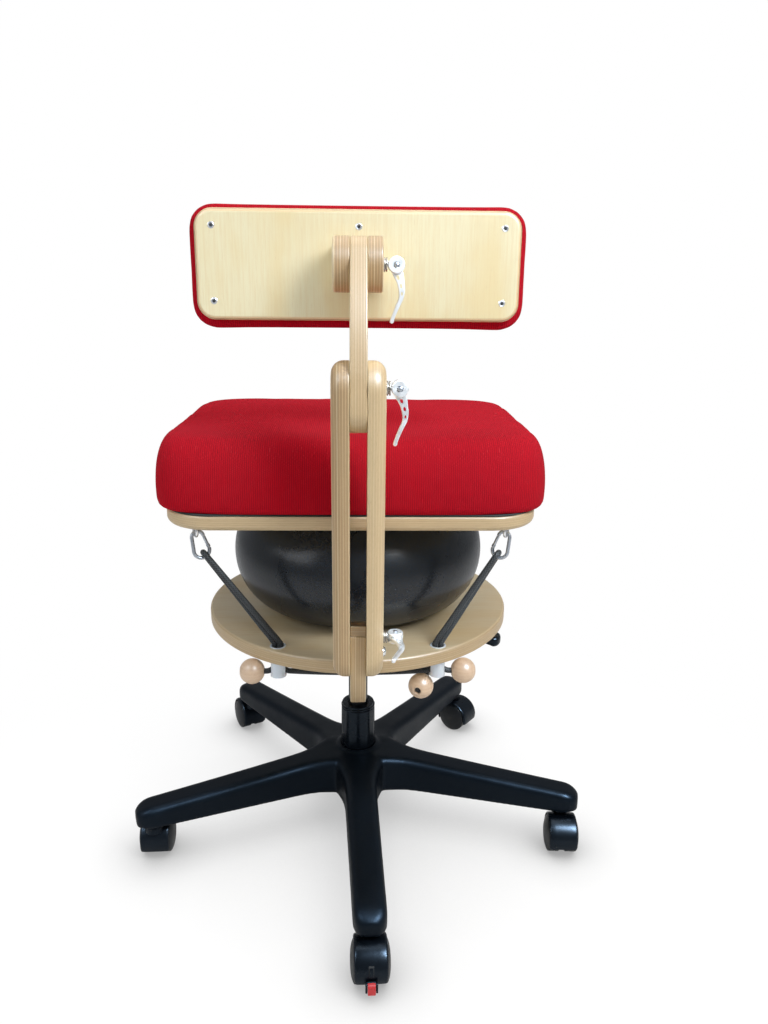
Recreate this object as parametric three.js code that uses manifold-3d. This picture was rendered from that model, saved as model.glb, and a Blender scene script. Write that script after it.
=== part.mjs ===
// A balance ball chair in millimetres, +Z up.
// +Y is the sitter's front, -Y the rear, and +X the sitter's right.
// A five-star base on twin-wheel casters carries a gas lift and a round plywood disc.
// A squashed exercise ball stands on the disc, and a cushioned board rests on the ball.
// Elastic cords tie the board down to the disc at its four corners.
// Behind the disc, two plywood uprights hold an arm and a small padded backrest.

import * as THREE from 'three';
import { mergeVertices } from 'three/addons/utils/BufferGeometryUtils.js';
import Module from 'manifold-3d';

const wasm = await Module();
wasm.setup();

// General fits
const fitGap = 0.3;
const cutOverrun = 5;
const weldTolerance = 0.0005;
const plyThickness = 18;
const roundSides = 20;
const turnedSides = 14;
const smallSides = 10;
const curveSides = 5;
const coarseCurve = 3;

// Five-star base
const legCount = 5;
const legReach = 330;
const legTurnDegrees = 2.7;
const legWidthRoot = 45;
const legWidthTip = 40;
const legEdgeRadius = 6;
const legTipRadius = 20;
const legTipHeight = 28;
const legRootHeight = 53;
const legWall = 4;
const hubRadius = 41;
const hubTopRadius = 34;
const hubHeight = 61;

// Casters
const wheelRadius = 25;
const wheelSides = 18;
const casterWidth = 48;
const wheelEdge = 4;
const webThickness = 8;
const webGap = 0.5;
const axleRadius = 3;
const axleClearance = 0.4;
const hoodGap = 1.2;
const hoodThickness = 2.6;
const hoodSides = 9;
const hoodStartDegrees = -12;
const hoodEndDegrees = 198;
const casterTrail = 18;
const casterInset = 24;
const casterBossRadius = 9;
const casterBossRise = 5;
const stemRadius = 5.5;
const stemLength = 20;
const pedalWidth = 10;
const pedalStemWidth = 5;
const pedalLength = 18;
const pedalThickness = 6;
const pedalPinRadius = 2.6;
const pedalEarThickness = 2.4;

// Gas lift
const columnRadius = 25;
const columnWall = 1.8;
const columnTop = 179;
const columnFoot = 42;
const bushFlange = 6;
const bushLength = 66;
const bushPinholeRadius = 1.6;
const liftRadius = 14;
const liftWall = 2;
const liftClearance = 0.4;
const liftFoot = 129;
const liftGland = 10;
const rodRadius = 5;
const rodHead = 188;
const rodHeadThickness = 8;
const thrustThickness = 4.5;
const thrustRadius = 17;
const socketRadius = 19;
const socketHeight = 42;
const releasePinRadius = 3;
const releasePinLength = 3;
const liftPlateThickness = 3;
const liftPlateHalfWidth = 55;
const liftPlateRear = 40;
const liftPlateFront = 75;

// Gas lift lever
const leverAngleDegrees = -19.2;
const leverReach = 203;
const leverRodRadius = 3;
const leverDrop = 21.5;
const leverLugThickness = 6;
const leverLugWidth = 12;
const leverLugStart = 25;
const leverClearance = 0.8;
const knobLength = 38;
const knobWidth = 22;
const knobThickness = 10;
const knobEdge = 2.5;

// Round disc under the ball
const discRadius = 209;
const discTop = 352.5;
const discEdge = 3;
const discSides = 48;

// Elastic cords, their tubes and wooden balls
const cordRadius = 3.5;
const cordSides = 8;
const cordStrandGap = 0.4;
const tubeInset = 15.7;
const tubeTurnDegrees = 58.84;
const tubeRadius = 10;
const tubeWall = 2;
const tubeDrop = 22.5;
const tubeProud = 1;
const tubeSides = 14;
const slotWidth = 8.6;
const slotFoot = 2;
const elbowRadius = 12;
const elbowSteps = 4;
const turnSteps = 6;
const elbowRise = -4.5;
const mouthRise = 3;
const runSag = 2.5;
const beadRadius = 16;
const beadHoleRadius = 4.2;
const beadSpacing = 33;
const beadEndInset = 3;
const tailBeadDrop = 38.5;
const tailBeadShares = [0.7998, -0.9915];
// The front cord's tail under the disc, from the front right tube to the hanging ball: how far it
// hangs below the disc, and its places as shares of the tubes' own distances across and along
const tailDrops = [16.3, 15.1, 12.9, 9.5, 7.5, 6.9, 6.9, 7, 7.9, 12, 20, 29, 35.5, 38.5];
const tailRouteShares = [
  [1.2198, 0.989], [1.2698, 0.9431], [1.2748, 0.8645], [1.2198, 0.7134], [1.1098, 0.4836],
  [1.0098, 0.2116], [0.9498, -0.0302], [0.9148, -0.2418], [0.8998, -0.4232], [0.8998, -0.5441],
  [0.9038, -0.6408], [0.9058, -0.7194], [0.8998, -0.792], [0.8818, -0.8603],
];

// Exercise ball, squashed between disc and seat board
const ballRadius = 172;
const ballPatchRadius = 95;
const ballWall = 3;
const ballValveRadius = 4;
const ballHeight = 160.5;
const ballFullnessShare = 0.9;
const ballSides = 32;
const ballSteps = 10;

// Seat
const seatShift = -8;
const seatClearance = 0.7;
const boardHalfWidth = 222;
const boardHalfDepth = 195;
const boardCorner = 60;
const boardEdge = 5;
const cushionHalfWidth = 241;
const cushionHalfDepth = 204;
const cushionCorner = 75;
const cushionHeight = 84;
const cushionCrown = 6;
const cushionFootRise = 26;
const cushionFootInset = 8;
const cushionTopRise = 58;
const cushionTopInset = 22;

// Eyes, carabiners and their gates
const eyeX = 186.5;
const eyeRingRadius = 7;
const eyeWireRadius = 2;
const eyePlateThickness = 3;
const eyePlateWidth = 12;
const eyePlateLength = 26;
const hookWireRadius = 2.2;
const hookHalfWidth = 9.5;
const hookNeckHalfWidth = 7;
const hookStraight = 17;
const hookSlantDegrees = 14;
const hookTwistDegrees = 65;
const hookGap = 0.9;
const gateWireRadius = 1.9;
const gateEndGap = 1;
const wireSides = 6;

// Uprights and the bracket that carries them
const uprightThickness = 19;
const uprightRadius = 28;
const uprightEdge = 10;
const uprightStandoff = 5.7;
const pivotZ = 381;
const armPivotSetBack = 23.3;
const armPivotZ = 686;
const tiltSkewerRise = 19.5;
const tiltSweepDegrees = 18;
const bracketBottom = 303;
const bracketPostReach = 19.3;
const bracketPostGap = 4;
const bracketHeelRadius = 58;
const bracketFront = -46;
const bracketToeCut = 16;
const bracketTop = 408;
const bracketThroatRadius = 4;
const capThickness = 12;
const cordHoleRadius = 4.6;
const boltRadius = 4;
const boltHeadRadius = 6;
const boltHeadHeight = 4;
const boltClearance = 0.4;

// Arm, knuckle and backrest
const armHalfWidth = 28;
const armTail = 18;
const armBulge = 9;
const armEdge = 1.5;
const knuckleForward = 52;
const knuckleZ = 808;
const knuckleRadius = 28.5;
const cheekThickness = 16;
const cheekBlockHalfHeight = 21;
const panelGap = 2;
const panelHalfWidth = 176;
const panelHalfHeight = 58;
const panelCorner = 20;
const panelThickness = 13;
const panelEdge = 4;
const panelDrop = 1;
const padCornerSteps = 5;
const padSideSteps = 4;
const padHalfWidth = 187;
const padHalfHeight = 67;
const padDrop = 3;
const padCorner = 27;
const padHeight = 38;
const padCrown = 7;
const padFootRise = 12;
const padFootInset = 4;
const padTopRise = 22;
const padTopInset = 13;

// Quick-release skewers and levers
const skewerRadius = 2.5;
const skewerClearance = 0.5;
const skewerNutRadius = 7;
const skewerNutHeight = 7;
const nutSink = 1;
const nutClearance = 0.5;
const skewerWasherThickness = 2.5;
const skewerCollarRadius = 5;
const camRadius = 9;
const camWidth = 12;
const camOffset = 14;
const camPinRadius = 2.8;
const camPinClearance = 0.4;
const camPinProud = 0.8;
const camSlotWidth = 6;
const tiltLeverTurnDegrees = -88;
const bladeThickness = 5;
const bladeLength = 59;
const bladeHalfWidth = 4.4;
const bladeTipHalfWidth = 1;
const bladeBow = 7.5;
const bladeTipInset = 3.5;
const bladeHoleWidth = 1.6;
const bladeHoleStretch = 1.7;

// Places that follow from the sizes above
const rad = THREE.MathUtils.degToRad;
const axleHeight = wheelRadius * Math.cos(Math.PI / wheelSides);
const hoodInner = wheelRadius + hoodGap;
const hoodOuter = hoodInner + hoodThickness;
const bossTop = axleHeight + hoodOuter + casterBossRise;
const legBottom = bossTop + fitGap;
const discBottom = discTop - plyThickness;
const boardBottom = discTop + ballHeight;
const boardTop = boardBottom + plyThickness;
const gapHalf = plyThickness / 2 + fitGap;
const tubeX = (discRadius - tubeInset) * Math.cos(rad(tubeTurnDegrees));
const tubeY = (discRadius - tubeInset) * Math.sin(rad(tubeTurnDegrees));
const bracketPostFront = -discRadius - bracketPostGap;
const pivotY = -discRadius - uprightStandoff - uprightRadius;
const bracketRear = pivotY - bracketPostReach;
const armPivotY = pivotY - armPivotSetBack;
const seatSetBack = -pivotY - uprightRadius - seatClearance - cushionHalfDepth;
const knuckleY = armPivotY + knuckleForward;
const strandOffset = cordRadius + cordStrandGap / 2;
const panelRearY = knuckleY + knuckleRadius + panelGap;
const panelFrontY = panelRearY + panelThickness;
const liftTop = discBottom - liftPlateThickness - fitGap - releasePinLength - fitGap;

function weld(geometry) {
  const flat = geometry.index ? geometry.toNonIndexed() : geometry;
  const bare = new THREE.BufferGeometry();
  bare.setAttribute('position', flat.getAttribute('position').clone());
  const merged = mergeVertices(bare, weldTolerance);
  const place = merged.getAttribute('position');
  const corner = (i) => new THREE.Vector3().fromBufferAttribute(place, i);
  const kept = [];
  let volume = 0;
  for (let i = 0; i < merged.index.count; i += 3) {
    const [a, b, c] = [0, 1, 2].map((k) => merged.index.getX(i + k));
    if (a === b || b === c || a === c) continue;
    kept.push([a, b, c]);
    volume += corner(a).dot(corner(b).cross(corner(c)));
  }
  const faces = volume < 0 ? kept.map(([a, b, c]) => [a, c, b]) : kept;
  merged.setIndex(faces.flat());
  return merged;
}

function toSolid(geometry) {
  const welded = weld(geometry);
  return new wasm.Manifold(new wasm.Mesh({
    numProp: 3,
    vertProperties: new Float32Array(welded.getAttribute('position').array),
    triVerts: new Uint32Array(welded.index.array),
  }));
}

function toGeometry(solid) {
  const mesh = solid.getMesh();
  const geometry = new THREE.BufferGeometry();
  geometry.setAttribute('position', new THREE.BufferAttribute(mesh.vertProperties, mesh.numProp));
  geometry.setIndex(new THREE.BufferAttribute(mesh.triVerts, 1));
  return geometry;
}

function fuse(first, ...others) {
  return toGeometry(others.reduce((solid, other) => solid.add(toSolid(other)), toSolid(first)));
}

function cut(body, ...tools) {
  return toGeometry(tools.reduce((solid, tool) => solid.subtract(toSolid(tool)), toSolid(body)));
}

function keep(body, region) {
  return toGeometry(toSolid(body).intersect(toSolid(region)));
}

function box(xRange, yRange, zRange) {
  const [low, high] = [0, 1].map((k) => new THREE.Vector3(xRange[k], yRange[k], zRange[k]));
  const size = high.clone().sub(low);
  const middle = low.add(high).multiplyScalar(0.5);
  return new THREE.BoxGeometry(size.x, size.y, size.z).translate(middle.x, middle.y, middle.z);
}

// A cylinder between two points
function rod(radius, from, to, sides = smallSides) {
  const start = new THREE.Vector3(...from);
  const end = new THREE.Vector3(...to);
  const along = end.clone().sub(start);
  const turn = new THREE.Quaternion().setFromUnitVectors(
    new THREE.Vector3(0, 1, 0), along.clone().normalize());
  const middle = start.add(end).multiplyScalar(0.5);
  return new THREE.CylinderGeometry(radius, radius, along.length(), sides)
    .applyQuaternion(turn).translate(middle.x, middle.y, middle.z);
}

// A turned piece about the Z axis from a list of [radius, height]
function turned(profile, sides = roundSides) {
  const points = profile.map(([radius, height]) => new THREE.Vector2(radius, height));
  return new THREE.LatheGeometry(points, sides).rotateX(Math.PI / 2);
}

function outline(points) {
  return new THREE.Shape(points.map(([u, v]) => new THREE.Vector2(u, v)));
}

// A plate in the XY plane between two heights, its edges rounded by a bevel
function plateZ(shape, low, high, edge = 0, edgeSteps = 2, curveSegments = curveSides) {
  return new THREE.ExtrudeGeometry(shape, {
    depth: high - low - 2 * edge,
    bevelEnabled: edge > 0,
    bevelSize: edge,
    bevelThickness: edge,
    bevelOffset: -edge,
    bevelSegments: edgeSteps,
    curveSegments,
  }).translate(0, 0, low + edge);
}

// A board standing on edge: its outline is drawn in Y and Z and it is thick along X
function boardX(shape, low, high, edge = 0, edgeSteps = 2, curveSegments = curveSides) {
  const toBoard = new THREE.Matrix4().makeBasis(
    new THREE.Vector3(0, 1, 0), new THREE.Vector3(0, 0, 1), new THREE.Vector3(1, 0, 0));
  return plateZ(shape, low, high, edge, edgeSteps, curveSegments).applyMatrix4(toBoard);
}

function roundedRectangle(halfX, halfY, corner, middleX = 0, middleY = 0) {
  const shape = new THREE.Shape();
  const [left, right] = [middleX - halfX + corner, middleX + halfX - corner];
  const [low, high] = [middleY - halfY + corner, middleY + halfY - corner];
  shape.absarc(right, low, corner, -Math.PI / 2, 0);
  shape.absarc(right, high, corner, 0, Math.PI / 2);
  shape.absarc(left, high, corner, Math.PI / 2, Math.PI);
  shape.absarc(left, low, corner, Math.PI, Math.PI * 3 / 2);
  return shape;
}

function polygon(radius, sides) {
  const corners = Array.from({ length: sides }, (_, i) => {
    const angle = (i + 0.5) * 2 * Math.PI / sides;
    return [radius * Math.cos(angle), radius * Math.sin(angle)];
  });
  return outline(corners);
}

// A curve that is sampled at its own points, so that tight turns keep their steps
class PointwiseCurve extends THREE.CatmullRomCurve3 {
  getUtoTmapping(u) {
    return u;
  }
}

function tubeThrough(points, radius, sides) {
  const curve = new PointwiseCurve(points, false, 'centripetal');
  return new THREE.ExtrudeGeometry(polygon(radius, sides), {
    steps: points.length - 1,
    extrudePath: curve,
  });
}

function finish(colour, roughness, metalness = 0) {
  return new THREE.MeshStandardMaterial({ color: colour, roughness, metalness });
}

const finishes = {
  birch: () => finish(0xe3cda4, 0.45),
  blackNylon: () => finish(0x101418, 0.5),
  blackSteel: () => finish(0x14161a, 0.35, 0.6),
  steel: () => finish(0xc9ccd0, 0.3, 1),
  elastic: () => finish(0x14191d, 0.8),
  rubberBall: () => finish(0x22282e, 0.45),
  redKnit: () => finish(0xcf1527, 0.9),
  whiteTube: () => finish(0xdfe8f2, 0.4),
  beech: () => finish(0xe6c49c, 0.5),
  redPedal: () => finish(0xc22a2e, 0.45),
};

function piece(name, geometry, material) {
  const mesh = new THREE.Mesh(weld(geometry), material);
  mesh.geometry.computeVertexNormals();
  mesh.name = name;
  return mesh;
}

// One leg of the star, drawn along +X
function legTop(radius) {
  const share = (radius - hubTopRadius) / (legReach - hubTopRadius);
  const fall = legRootHeight - legTipHeight;
  return legBottom + legRootHeight - fall * Math.pow(Math.min(Math.max(share, 0), 1), 0.85);
}

// A leg's section at one place along it: flat below, rounded over at its top corners
function legSection(along) {
  const half = legWidthRoot / 2 * legWidthShare(along);
  const top = legTop(along);
  const corner = [0, 0.33, 0.67, 1].map((share) => [
    half - legEdgeRadius * (1 - Math.cos(share * Math.PI / 2)),
    top - legEdgeRadius * (1 - Math.sin(share * Math.PI / 2)),
  ]);
  const right = [[half, legBottom], ...corner];
  const left = [...right].reverse().map(([across, height]) => [-across, height]);
  return [...right, ...left].map(([across, height]) => [along, across, height]);
}

function legGeometry() {
  const bodyShares = [0.1, 0.3, 0.62];
  const tipShares = [0, 0.4, 0.7, 0.9, 1];
  const places = [
    ...bodyShares.map((share) => legReach * share),
    ...tipShares.map((share) => legReach - legTipRadius * (1 - share)),
  ];
  const rings = places.map(legSection);
  const middle = (along) => [along, 0, (legBottom + legTop(along)) / 2];
  return closeRings(rings, middle(places[0]), middle(legReach));
}

function legWidthShare(along) {
  const taper = 1 - (1 - legWidthTip / legWidthRoot) * along / legReach;
  const past = (along - (legReach - legTipRadius)) / legTipRadius;
  const tip = past > 0 ? Math.sqrt(Math.max(1 - past * past, 0.16)) : 1;
  return taper * tip;
}

// The pockets under a leg, between its outer walls and cross ribs
function legPockets() {
  const pocketShares = [[0.22, 0.38], [0.4, 0.58], [0.6, 0.8]];
  return pocketShares.map(([from, to]) => {
    const [near, far] = [legReach * from, legReach * to];
    const half = legWidthTip / 2 - legWall;
    const points = [
      [near, legBottom - cutOverrun],
      [far, legBottom - cutOverrun],
      [far, legTop(far) - legWall],
      [near, legTop(near) - legWall],
    ];
    return boardX(outline(points), -half, half).rotateZ(-Math.PI / 2);
  });
}

function legAngle(index) {
  return -Math.PI / 2 + rad(legTurnDegrees) + index * 2 * Math.PI / legCount;
}

function starBase() {
  const hubTop = legBottom + hubHeight;
  const hub = turned([
    [0, legBottom], [hubRadius, legBottom], [hubRadius, legBottom + hubHeight / 2],
    [hubTopRadius, hubTop - legWall], [hubTopRadius - legWall, hubTop], [0, hubTop],
  ]);
  const legs = [];
  const pockets = [];
  for (let i = 0; i < legCount; i += 1) {
    legs.push(legGeometry().rotateZ(legAngle(i)));
    pockets.push(...legPockets().map((pocket) => pocket.rotateZ(legAngle(i))));
    const reach = legReach - casterInset;
    const [x, y] = [reach * Math.cos(legAngle(i)), reach * Math.sin(legAngle(i))];
    const socketTop = bossTop + stemLength + fitGap;
    pockets.push(rod(stemRadius + fitGap, [x, y, bossTop - cutOverrun], [x, y, socketTop]));
  }
  const bore = turned([
    [0, legBottom - cutOverrun], [columnRadius + fitGap, legBottom - cutOverrun],
    [columnRadius + fitGap, hubTop + cutOverrun], [0, hubTop + cutOverrun],
  ]);
  return piece('star_base', cut(fuse(hub, ...legs), bore, ...pockets), finishes.blackNylon());
}

// A caster is drawn with its swivel axis at the origin and its wheels trailing along +X
function hoodArc() {
  const shape = new THREE.Shape();
  const [start, end] = [rad(hoodStartDegrees), rad(hoodEndDegrees)];
  shape.absarc(casterTrail, axleHeight, hoodOuter, start, end, false);
  shape.absarc(casterTrail, axleHeight, hoodInner, end, start, true);
  const half = casterWidth / 2;
  return boardX(shape, -half, half, 0, 0, hoodSides).rotateZ(-Math.PI / 2);
}

// The plate between the two wheels, from the hood down to the axle
function casterWeb() {
  const shape = new THREE.Shape();
  shape.absarc(casterTrail, axleHeight, hoodInner + hoodThickness / 2,
    rad(hoodStartDegrees), rad(hoodEndDegrees), false);
  shape.lineTo(casterTrail, axleHeight - wheelRadius / 2);
  const half = webThickness / 2;
  return boardX(shape, -half, half, 0, 0, hoodSides).rotateZ(-Math.PI / 2);
}

// Two ears on the braked caster's hood, which hold the pedal's pin between them
function pedalPlace() {
  return [casterTrail + hoodOuter + pedalPinRadius + fitGap, axleHeight];
}

function pedalEars() {
  const [x, z] = pedalPlace();
  const inner = pedalWidth / 2 + fitGap;
  return [-1, 1].map((side) => {
    const reach = [side * inner, side * (inner + pedalEarThickness)].sort((a, b) => a - b);
    const depth = hoodThickness + pedalPinRadius + fitGap;
    return box([x - depth, x + pedalPinRadius], reach, [z - pedalPinRadius, z + pedalPinRadius]);
  });
}

function casterHood(name, braked) {
  const half = casterWidth / 2;
  const wheelRoom = rod(hoodInner + hoodThickness / 2, [casterTrail, -half, axleHeight],
    [casterTrail, half, axleHeight]);
  const boss = cut(rod(casterBossRadius, [0, 0, axleHeight], [0, 0, bossTop]), wheelRoom);
  const stem = rod(stemRadius, [0, 0, bossTop - casterBossRise], [0, 0, bossTop + stemLength]);
  const axleBore = rod(axleRadius + axleClearance, [casterTrail, -half, axleHeight],
    [casterTrail, half, axleHeight]);
  const body = fuse(hoodArc(), boss, stem, casterWeb(), ...(braked ? pedalEars() : []));
  return piece(name, cut(body, axleBore), finishes.blackNylon());
}

function wheelSet(name) {
  const half = casterWidth / 2;
  const inner = webThickness / 2 + webGap;
  const side = [
    [0, half], [wheelRadius - wheelEdge, half], [wheelRadius, half - wheelEdge],
    [wheelRadius, inner], [axleRadius, inner],
  ];
  const profile = [...side, ...[...side].reverse().map(([radius, reach]) => [radius, -reach])];
  const wheels = turned(profile, wheelSides).rotateZ(Math.PI / wheelSides).rotateX(Math.PI / 2)
    .translate(casterTrail, 0, axleHeight);
  return piece(name, wheels, finishes.blackNylon());
}

function brakePedal() {
  const [x, z] = pedalPlace();
  const pinHalf = pedalWidth / 2;
  const pin = rod(pedalPinRadius, [x, -pinHalf, z], [x, pinHalf, z]);
  const stemEnd = x + pedalThickness;
  const stem = box([x, stemEnd], [-pedalStemWidth / 2, pedalStemWidth / 2],
    [z - pedalLength / 2, z + pedalPinRadius]);
  const padTop = z - pedalLength / 3;
  const pad = box([x + pedalPinRadius, stemEnd + pedalThickness], [-pinHalf, pinHalf],
    [z - pedalLength, padTop]);
  return piece('brake_pedal', fuse(pin, stem, pad), finishes.redPedal());
}

// Where each caster's wheels trail, in degrees from +X
const casterHeadings = [
  { place: 'rear', heading: 272 },
  { place: 'right', heading: 266 },
  { place: 'front_right', heading: 322 },
  { place: 'front_left', heading: 118 },
  { place: 'left', heading: 92 },
];

function casters() {
  return casterHeadings.map(({ place, heading }, i) => {
    const caster = new THREE.Group();
    const reach = legReach - casterInset;
    caster.position.set(reach * Math.cos(legAngle(i)), reach * Math.sin(legAngle(i)), 0);
    caster.rotation.z = rad(heading);
    const braked = place === 'rear';
    caster.add(casterHood(`caster_hood_${place}`, braked), wheelSet(`caster_wheels_${place}`));
    if (braked) caster.add(brakePedal());
    return caster;
  });
}

function columnTube() {
  const inner = columnRadius - columnWall;
  return piece('column_tube', turned([
    [rodRadius + fitGap, columnFoot], [columnRadius, columnFoot], [columnRadius, columnTop],
    [inner, columnTop], [inner, columnFoot + columnWall], [rodRadius + fitGap, columnFoot + columnWall],
    [rodRadius + fitGap, columnFoot],
  ]), finishes.blackSteel());
}

function columnBush() {
  const inner = liftRadius + liftClearance;
  const sleeve = columnRadius - columnWall - fitGap;
  const low = columnTop + fitGap;
  const top = low + bushFlange;
  const ring = turned([
    [inner, columnTop - bushLength], [sleeve, columnTop - bushLength], [sleeve, low],
    [columnRadius, low], [columnRadius, top - bushPinholeRadius], [columnRadius - bushPinholeRadius, top],
    [inner, top], [inner, columnTop - bushLength],
  ]);
  const middle = (columnRadius + inner) / 2;
  const pinholes = [0, 2, 4].map((turn) => {
    const angle = Math.PI / 2 + turn * Math.PI / 3 + Math.PI / 6;
    const [x, y] = [middle * Math.cos(angle), middle * Math.sin(angle)];
    return rod(bushPinholeRadius, [x, y, top - bushFlange / 2], [x, y, top + cutOverrun], cordSides);
  });
  return piece('column_bush', cut(ring, ...pinholes), finishes.blackNylon());
}

// The gas spring's rod: it turns on a thrust bearing at the foot and carries the piston head
function gasRod() {
  const bearingLow = columnFoot + columnWall + fitGap;
  const bearingTop = bearingLow + thrustThickness;
  const head = liftRadius - liftWall - fitGap;
  return piece('gas_rod', turned([
    [0, columnFoot - columnWall], [rodRadius, columnFoot - columnWall], [rodRadius, bearingLow],
    [thrustRadius, bearingLow], [thrustRadius, bearingTop], [rodRadius, bearingTop],
    [rodRadius, rodHead], [head, rodHead], [head, rodHead + rodHeadThickness],
    [0, rodHead + rodHeadThickness],
  ], turnedSides), finishes.steel());
}

function gasCylinder() {
  const inner = liftRadius - liftWall;
  const glandBore = rodRadius + fitGap;
  return piece('gas_cylinder', turned([
    [glandBore, liftFoot], [liftRadius, liftFoot], [liftRadius, liftTop],
    [releasePinRadius, liftTop], [releasePinRadius, liftTop + releasePinLength],
    [0, liftTop + releasePinLength], [0, liftTop - liftGland],
    [inner, liftTop - liftGland], [inner, liftFoot + liftGland],
    [glandBore, liftFoot + liftGland], [glandBore, liftFoot],
  ]), finishes.blackSteel());
}

// The steel plate under the disc with the socket that the gas cylinder's top sits in
function liftPlate() {
  const top = discBottom - fitGap;
  const halfDepth = (liftPlateFront + liftPlateRear) / 2;
  const plate = plateZ(roundedRectangle(liftPlateHalfWidth, halfDepth, socketRadius / 2,
    0, liftPlateFront - halfDepth), top - liftPlateThickness, top);
  const low = top - liftPlateThickness - socketHeight;
  const socket = rod(socketRadius, [0, 0, low], [0, 0, top - fitGap], roundSides);
  const bore = rod(liftRadius + fitGap, [0, 0, low - cutOverrun],
    [0, 0, top - liftPlateThickness], roundSides);
  const leverZ = discBottom - leverDrop;
  const lugEnd = leverLugStart + leverLugThickness;
  const lug = box([leverLugStart, lugEnd], [-leverLugWidth / 2, leverLugWidth / 2],
    [leverZ - leverLugWidth / 2, top - fitGap]);
  const lugBore = rod(leverRodRadius + leverClearance, [leverLugStart - cutOverrun, 0, leverZ],
    [lugEnd + cutOverrun, 0, leverZ]);
  const turn = rad(leverAngleDegrees);
  return piece('lift_plate', cut(
    fuse(plate, socket, lug.rotateZ(turn)), bore, lugBore.rotateZ(turn)), finishes.blackSteel());
}

function liftLever() {
  const leverZ = discBottom - leverDrop;
  const shaftEnd = leverReach - knobLength / 2;
  const shaft = rod(leverRodRadius, [socketRadius + fitGap * 3, 0, leverZ], [shaftEnd, 0, leverZ]);
  const knob = plateZ(
    roundedRectangle(knobLength / 2, knobWidth / 2, knobWidth / 3, leverReach - knobLength / 2, 0),
    leverZ - knobThickness / 2, leverZ + knobThickness / 2, knobEdge, 2, coarseCurve);
  return piece('lift_lever', fuse(shaft, knob).rotateZ(rad(leverAngleDegrees)), finishes.blackNylon());
}

const cordCorners = [
  { place: 'rear_left', side: -1, end: -1 },
  { place: 'rear_right', side: 1, end: -1 },
  { place: 'front_left', side: -1, end: 1 },
  { place: 'front_right', side: 1, end: 1 },
];

function baseDisc() {
  const disc = turned([
    [0, discBottom], [discRadius - discEdge, discBottom], [discRadius, discBottom + discEdge],
    [discRadius, discTop - discEdge], [discRadius - discEdge, discTop], [0, discTop],
  ], discSides);
  const holes = cordCorners.map(({ side, end }) => rod(tubeRadius + fitGap,
    [side * tubeX, end * tubeY, discBottom - cutOverrun],
    [side * tubeX, end * tubeY, discTop + cutOverrun], tubeSides));
  return piece('base_disc', cut(disc, ...holes), finishes.birch());
}

// A white tube through the disc, slotted at both sides below it for the cord
function cordTube({ place, side, end }) {
  const low = discBottom - tubeDrop;
  const top = discTop + tubeProud;
  const inner = tubeRadius - tubeWall;
  const tube = turned([
    [inner, low], [tubeRadius, low], [tubeRadius, top], [inner, top], [inner, low],
  ], tubeSides);
  const reach = tubeRadius + cutOverrun;
  const slot = box([-reach, reach], [-slotWidth / 2, slotWidth / 2], [low + slotFoot, discBottom - fitGap]);
  return piece(`cord_tube_${place}`, cut(tube, slot).translate(side * tubeX, end * tubeY, 0),
    finishes.whiteTube());
}

// The frame of one carabiner: it hangs from its ring, its face turned to the rear or the front.
// The strap pulls on the lower bend where the wire runs square to the pull.
function hookFrame(side, end) {
  const ringZ = boardBottom - fitGap - eyePlateThickness + eyeWireRadius / 4 - eyeRingRadius;
  const slant = rad(hookSlantDegrees);
  const down = new THREE.Vector3(-side * Math.sin(slant), 0, -Math.cos(slant));
  const outward = new THREE.Vector3(side * Math.cos(slant), 0, -Math.sin(slant));
  const twist = rad(hookTwistDegrees) * side * end;
  const apart = outward.clone().applyAxisAngle(down, twist);
  const across = new THREE.Vector3().crossVectors(down, apart).normalize().multiplyScalar(-side);
  const ring = new THREE.Vector3(seatShift + side * eyeX, end * tubeY, ringZ);
  const hang = eyeRingRadius - hookWireRadius - eyeWireRadius - hookGap;
  const top = ring.clone().addScaledVector(down, hang);
  const bend = top.clone().addScaledVector(down, hookNeckHalfWidth + hookStraight);
  const pull = new THREE.Vector3(side * tubeX, end * tubeY, discTop + mouthRise).sub(bend);
  pull.addScaledVector(apart, -pull.dot(apart)).normalize();
  const foot = bend.clone().addScaledVector(pull, hookHalfWidth);
  return { down, apart, across, ring, top, foot, pull };
}

function eyeBolt({ place, side, end }) {
  const { across, ring } = hookFrame(side, end);
  const level = new THREE.Vector3(across.x, across.y, 0).normalize();
  const turn = Math.atan2(level.y, level.x);
  const loop = new THREE.TorusGeometry(eyeRingRadius, eyeWireRadius, wireSides, turnedSides)
    .rotateX(Math.PI / 2).rotateZ(Math.PI / 2).translate(0, 0, ring.z);
  const plateLow = boardBottom - fitGap - eyePlateThickness;
  const plate = plateZ(roundedRectangle(eyePlateWidth / 2, eyePlateLength / 2, eyePlateWidth / 2.5),
    plateLow, plateLow + eyePlateThickness, 0, 0, coarseCurve);
  return piece(`seat_eye_${place}`,
    fuse(plate, loop).rotateZ(turn).translate(ring.x, ring.y, 0), finishes.steel());
}

// The open wire of a pear-shaped carabiner: both ends stop at the gate
function carabiner({ place, side, end }) {
  const { down, across, top } = hookFrame(side, end);
  const points = [];
  const add = (sideways, along) => points.push(
    top.clone().addScaledVector(across, sideways).addScaledVector(down, along));
  const arcSteps = 6;
  const lower = hookNeckHalfWidth + hookStraight;
  for (let i = 0; i <= arcSteps; i += 1) {
    const angle = Math.PI * i / arcSteps;
    add(hookNeckHalfWidth * Math.cos(angle), hookNeckHalfWidth * (1 - Math.sin(angle)));
  }
  add(-(hookNeckHalfWidth + hookHalfWidth) / 2, hookNeckHalfWidth + hookStraight / 2);
  for (let i = 0; i <= arcSteps; i += 1) {
    const angle = Math.PI * i / arcSteps;
    add(-hookHalfWidth * Math.cos(angle), lower + hookHalfWidth * Math.sin(angle));
  }
  return piece(`carabiner_${place}`, tubeThrough(points, hookWireRadius, wireSides), finishes.steel());
}

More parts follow.
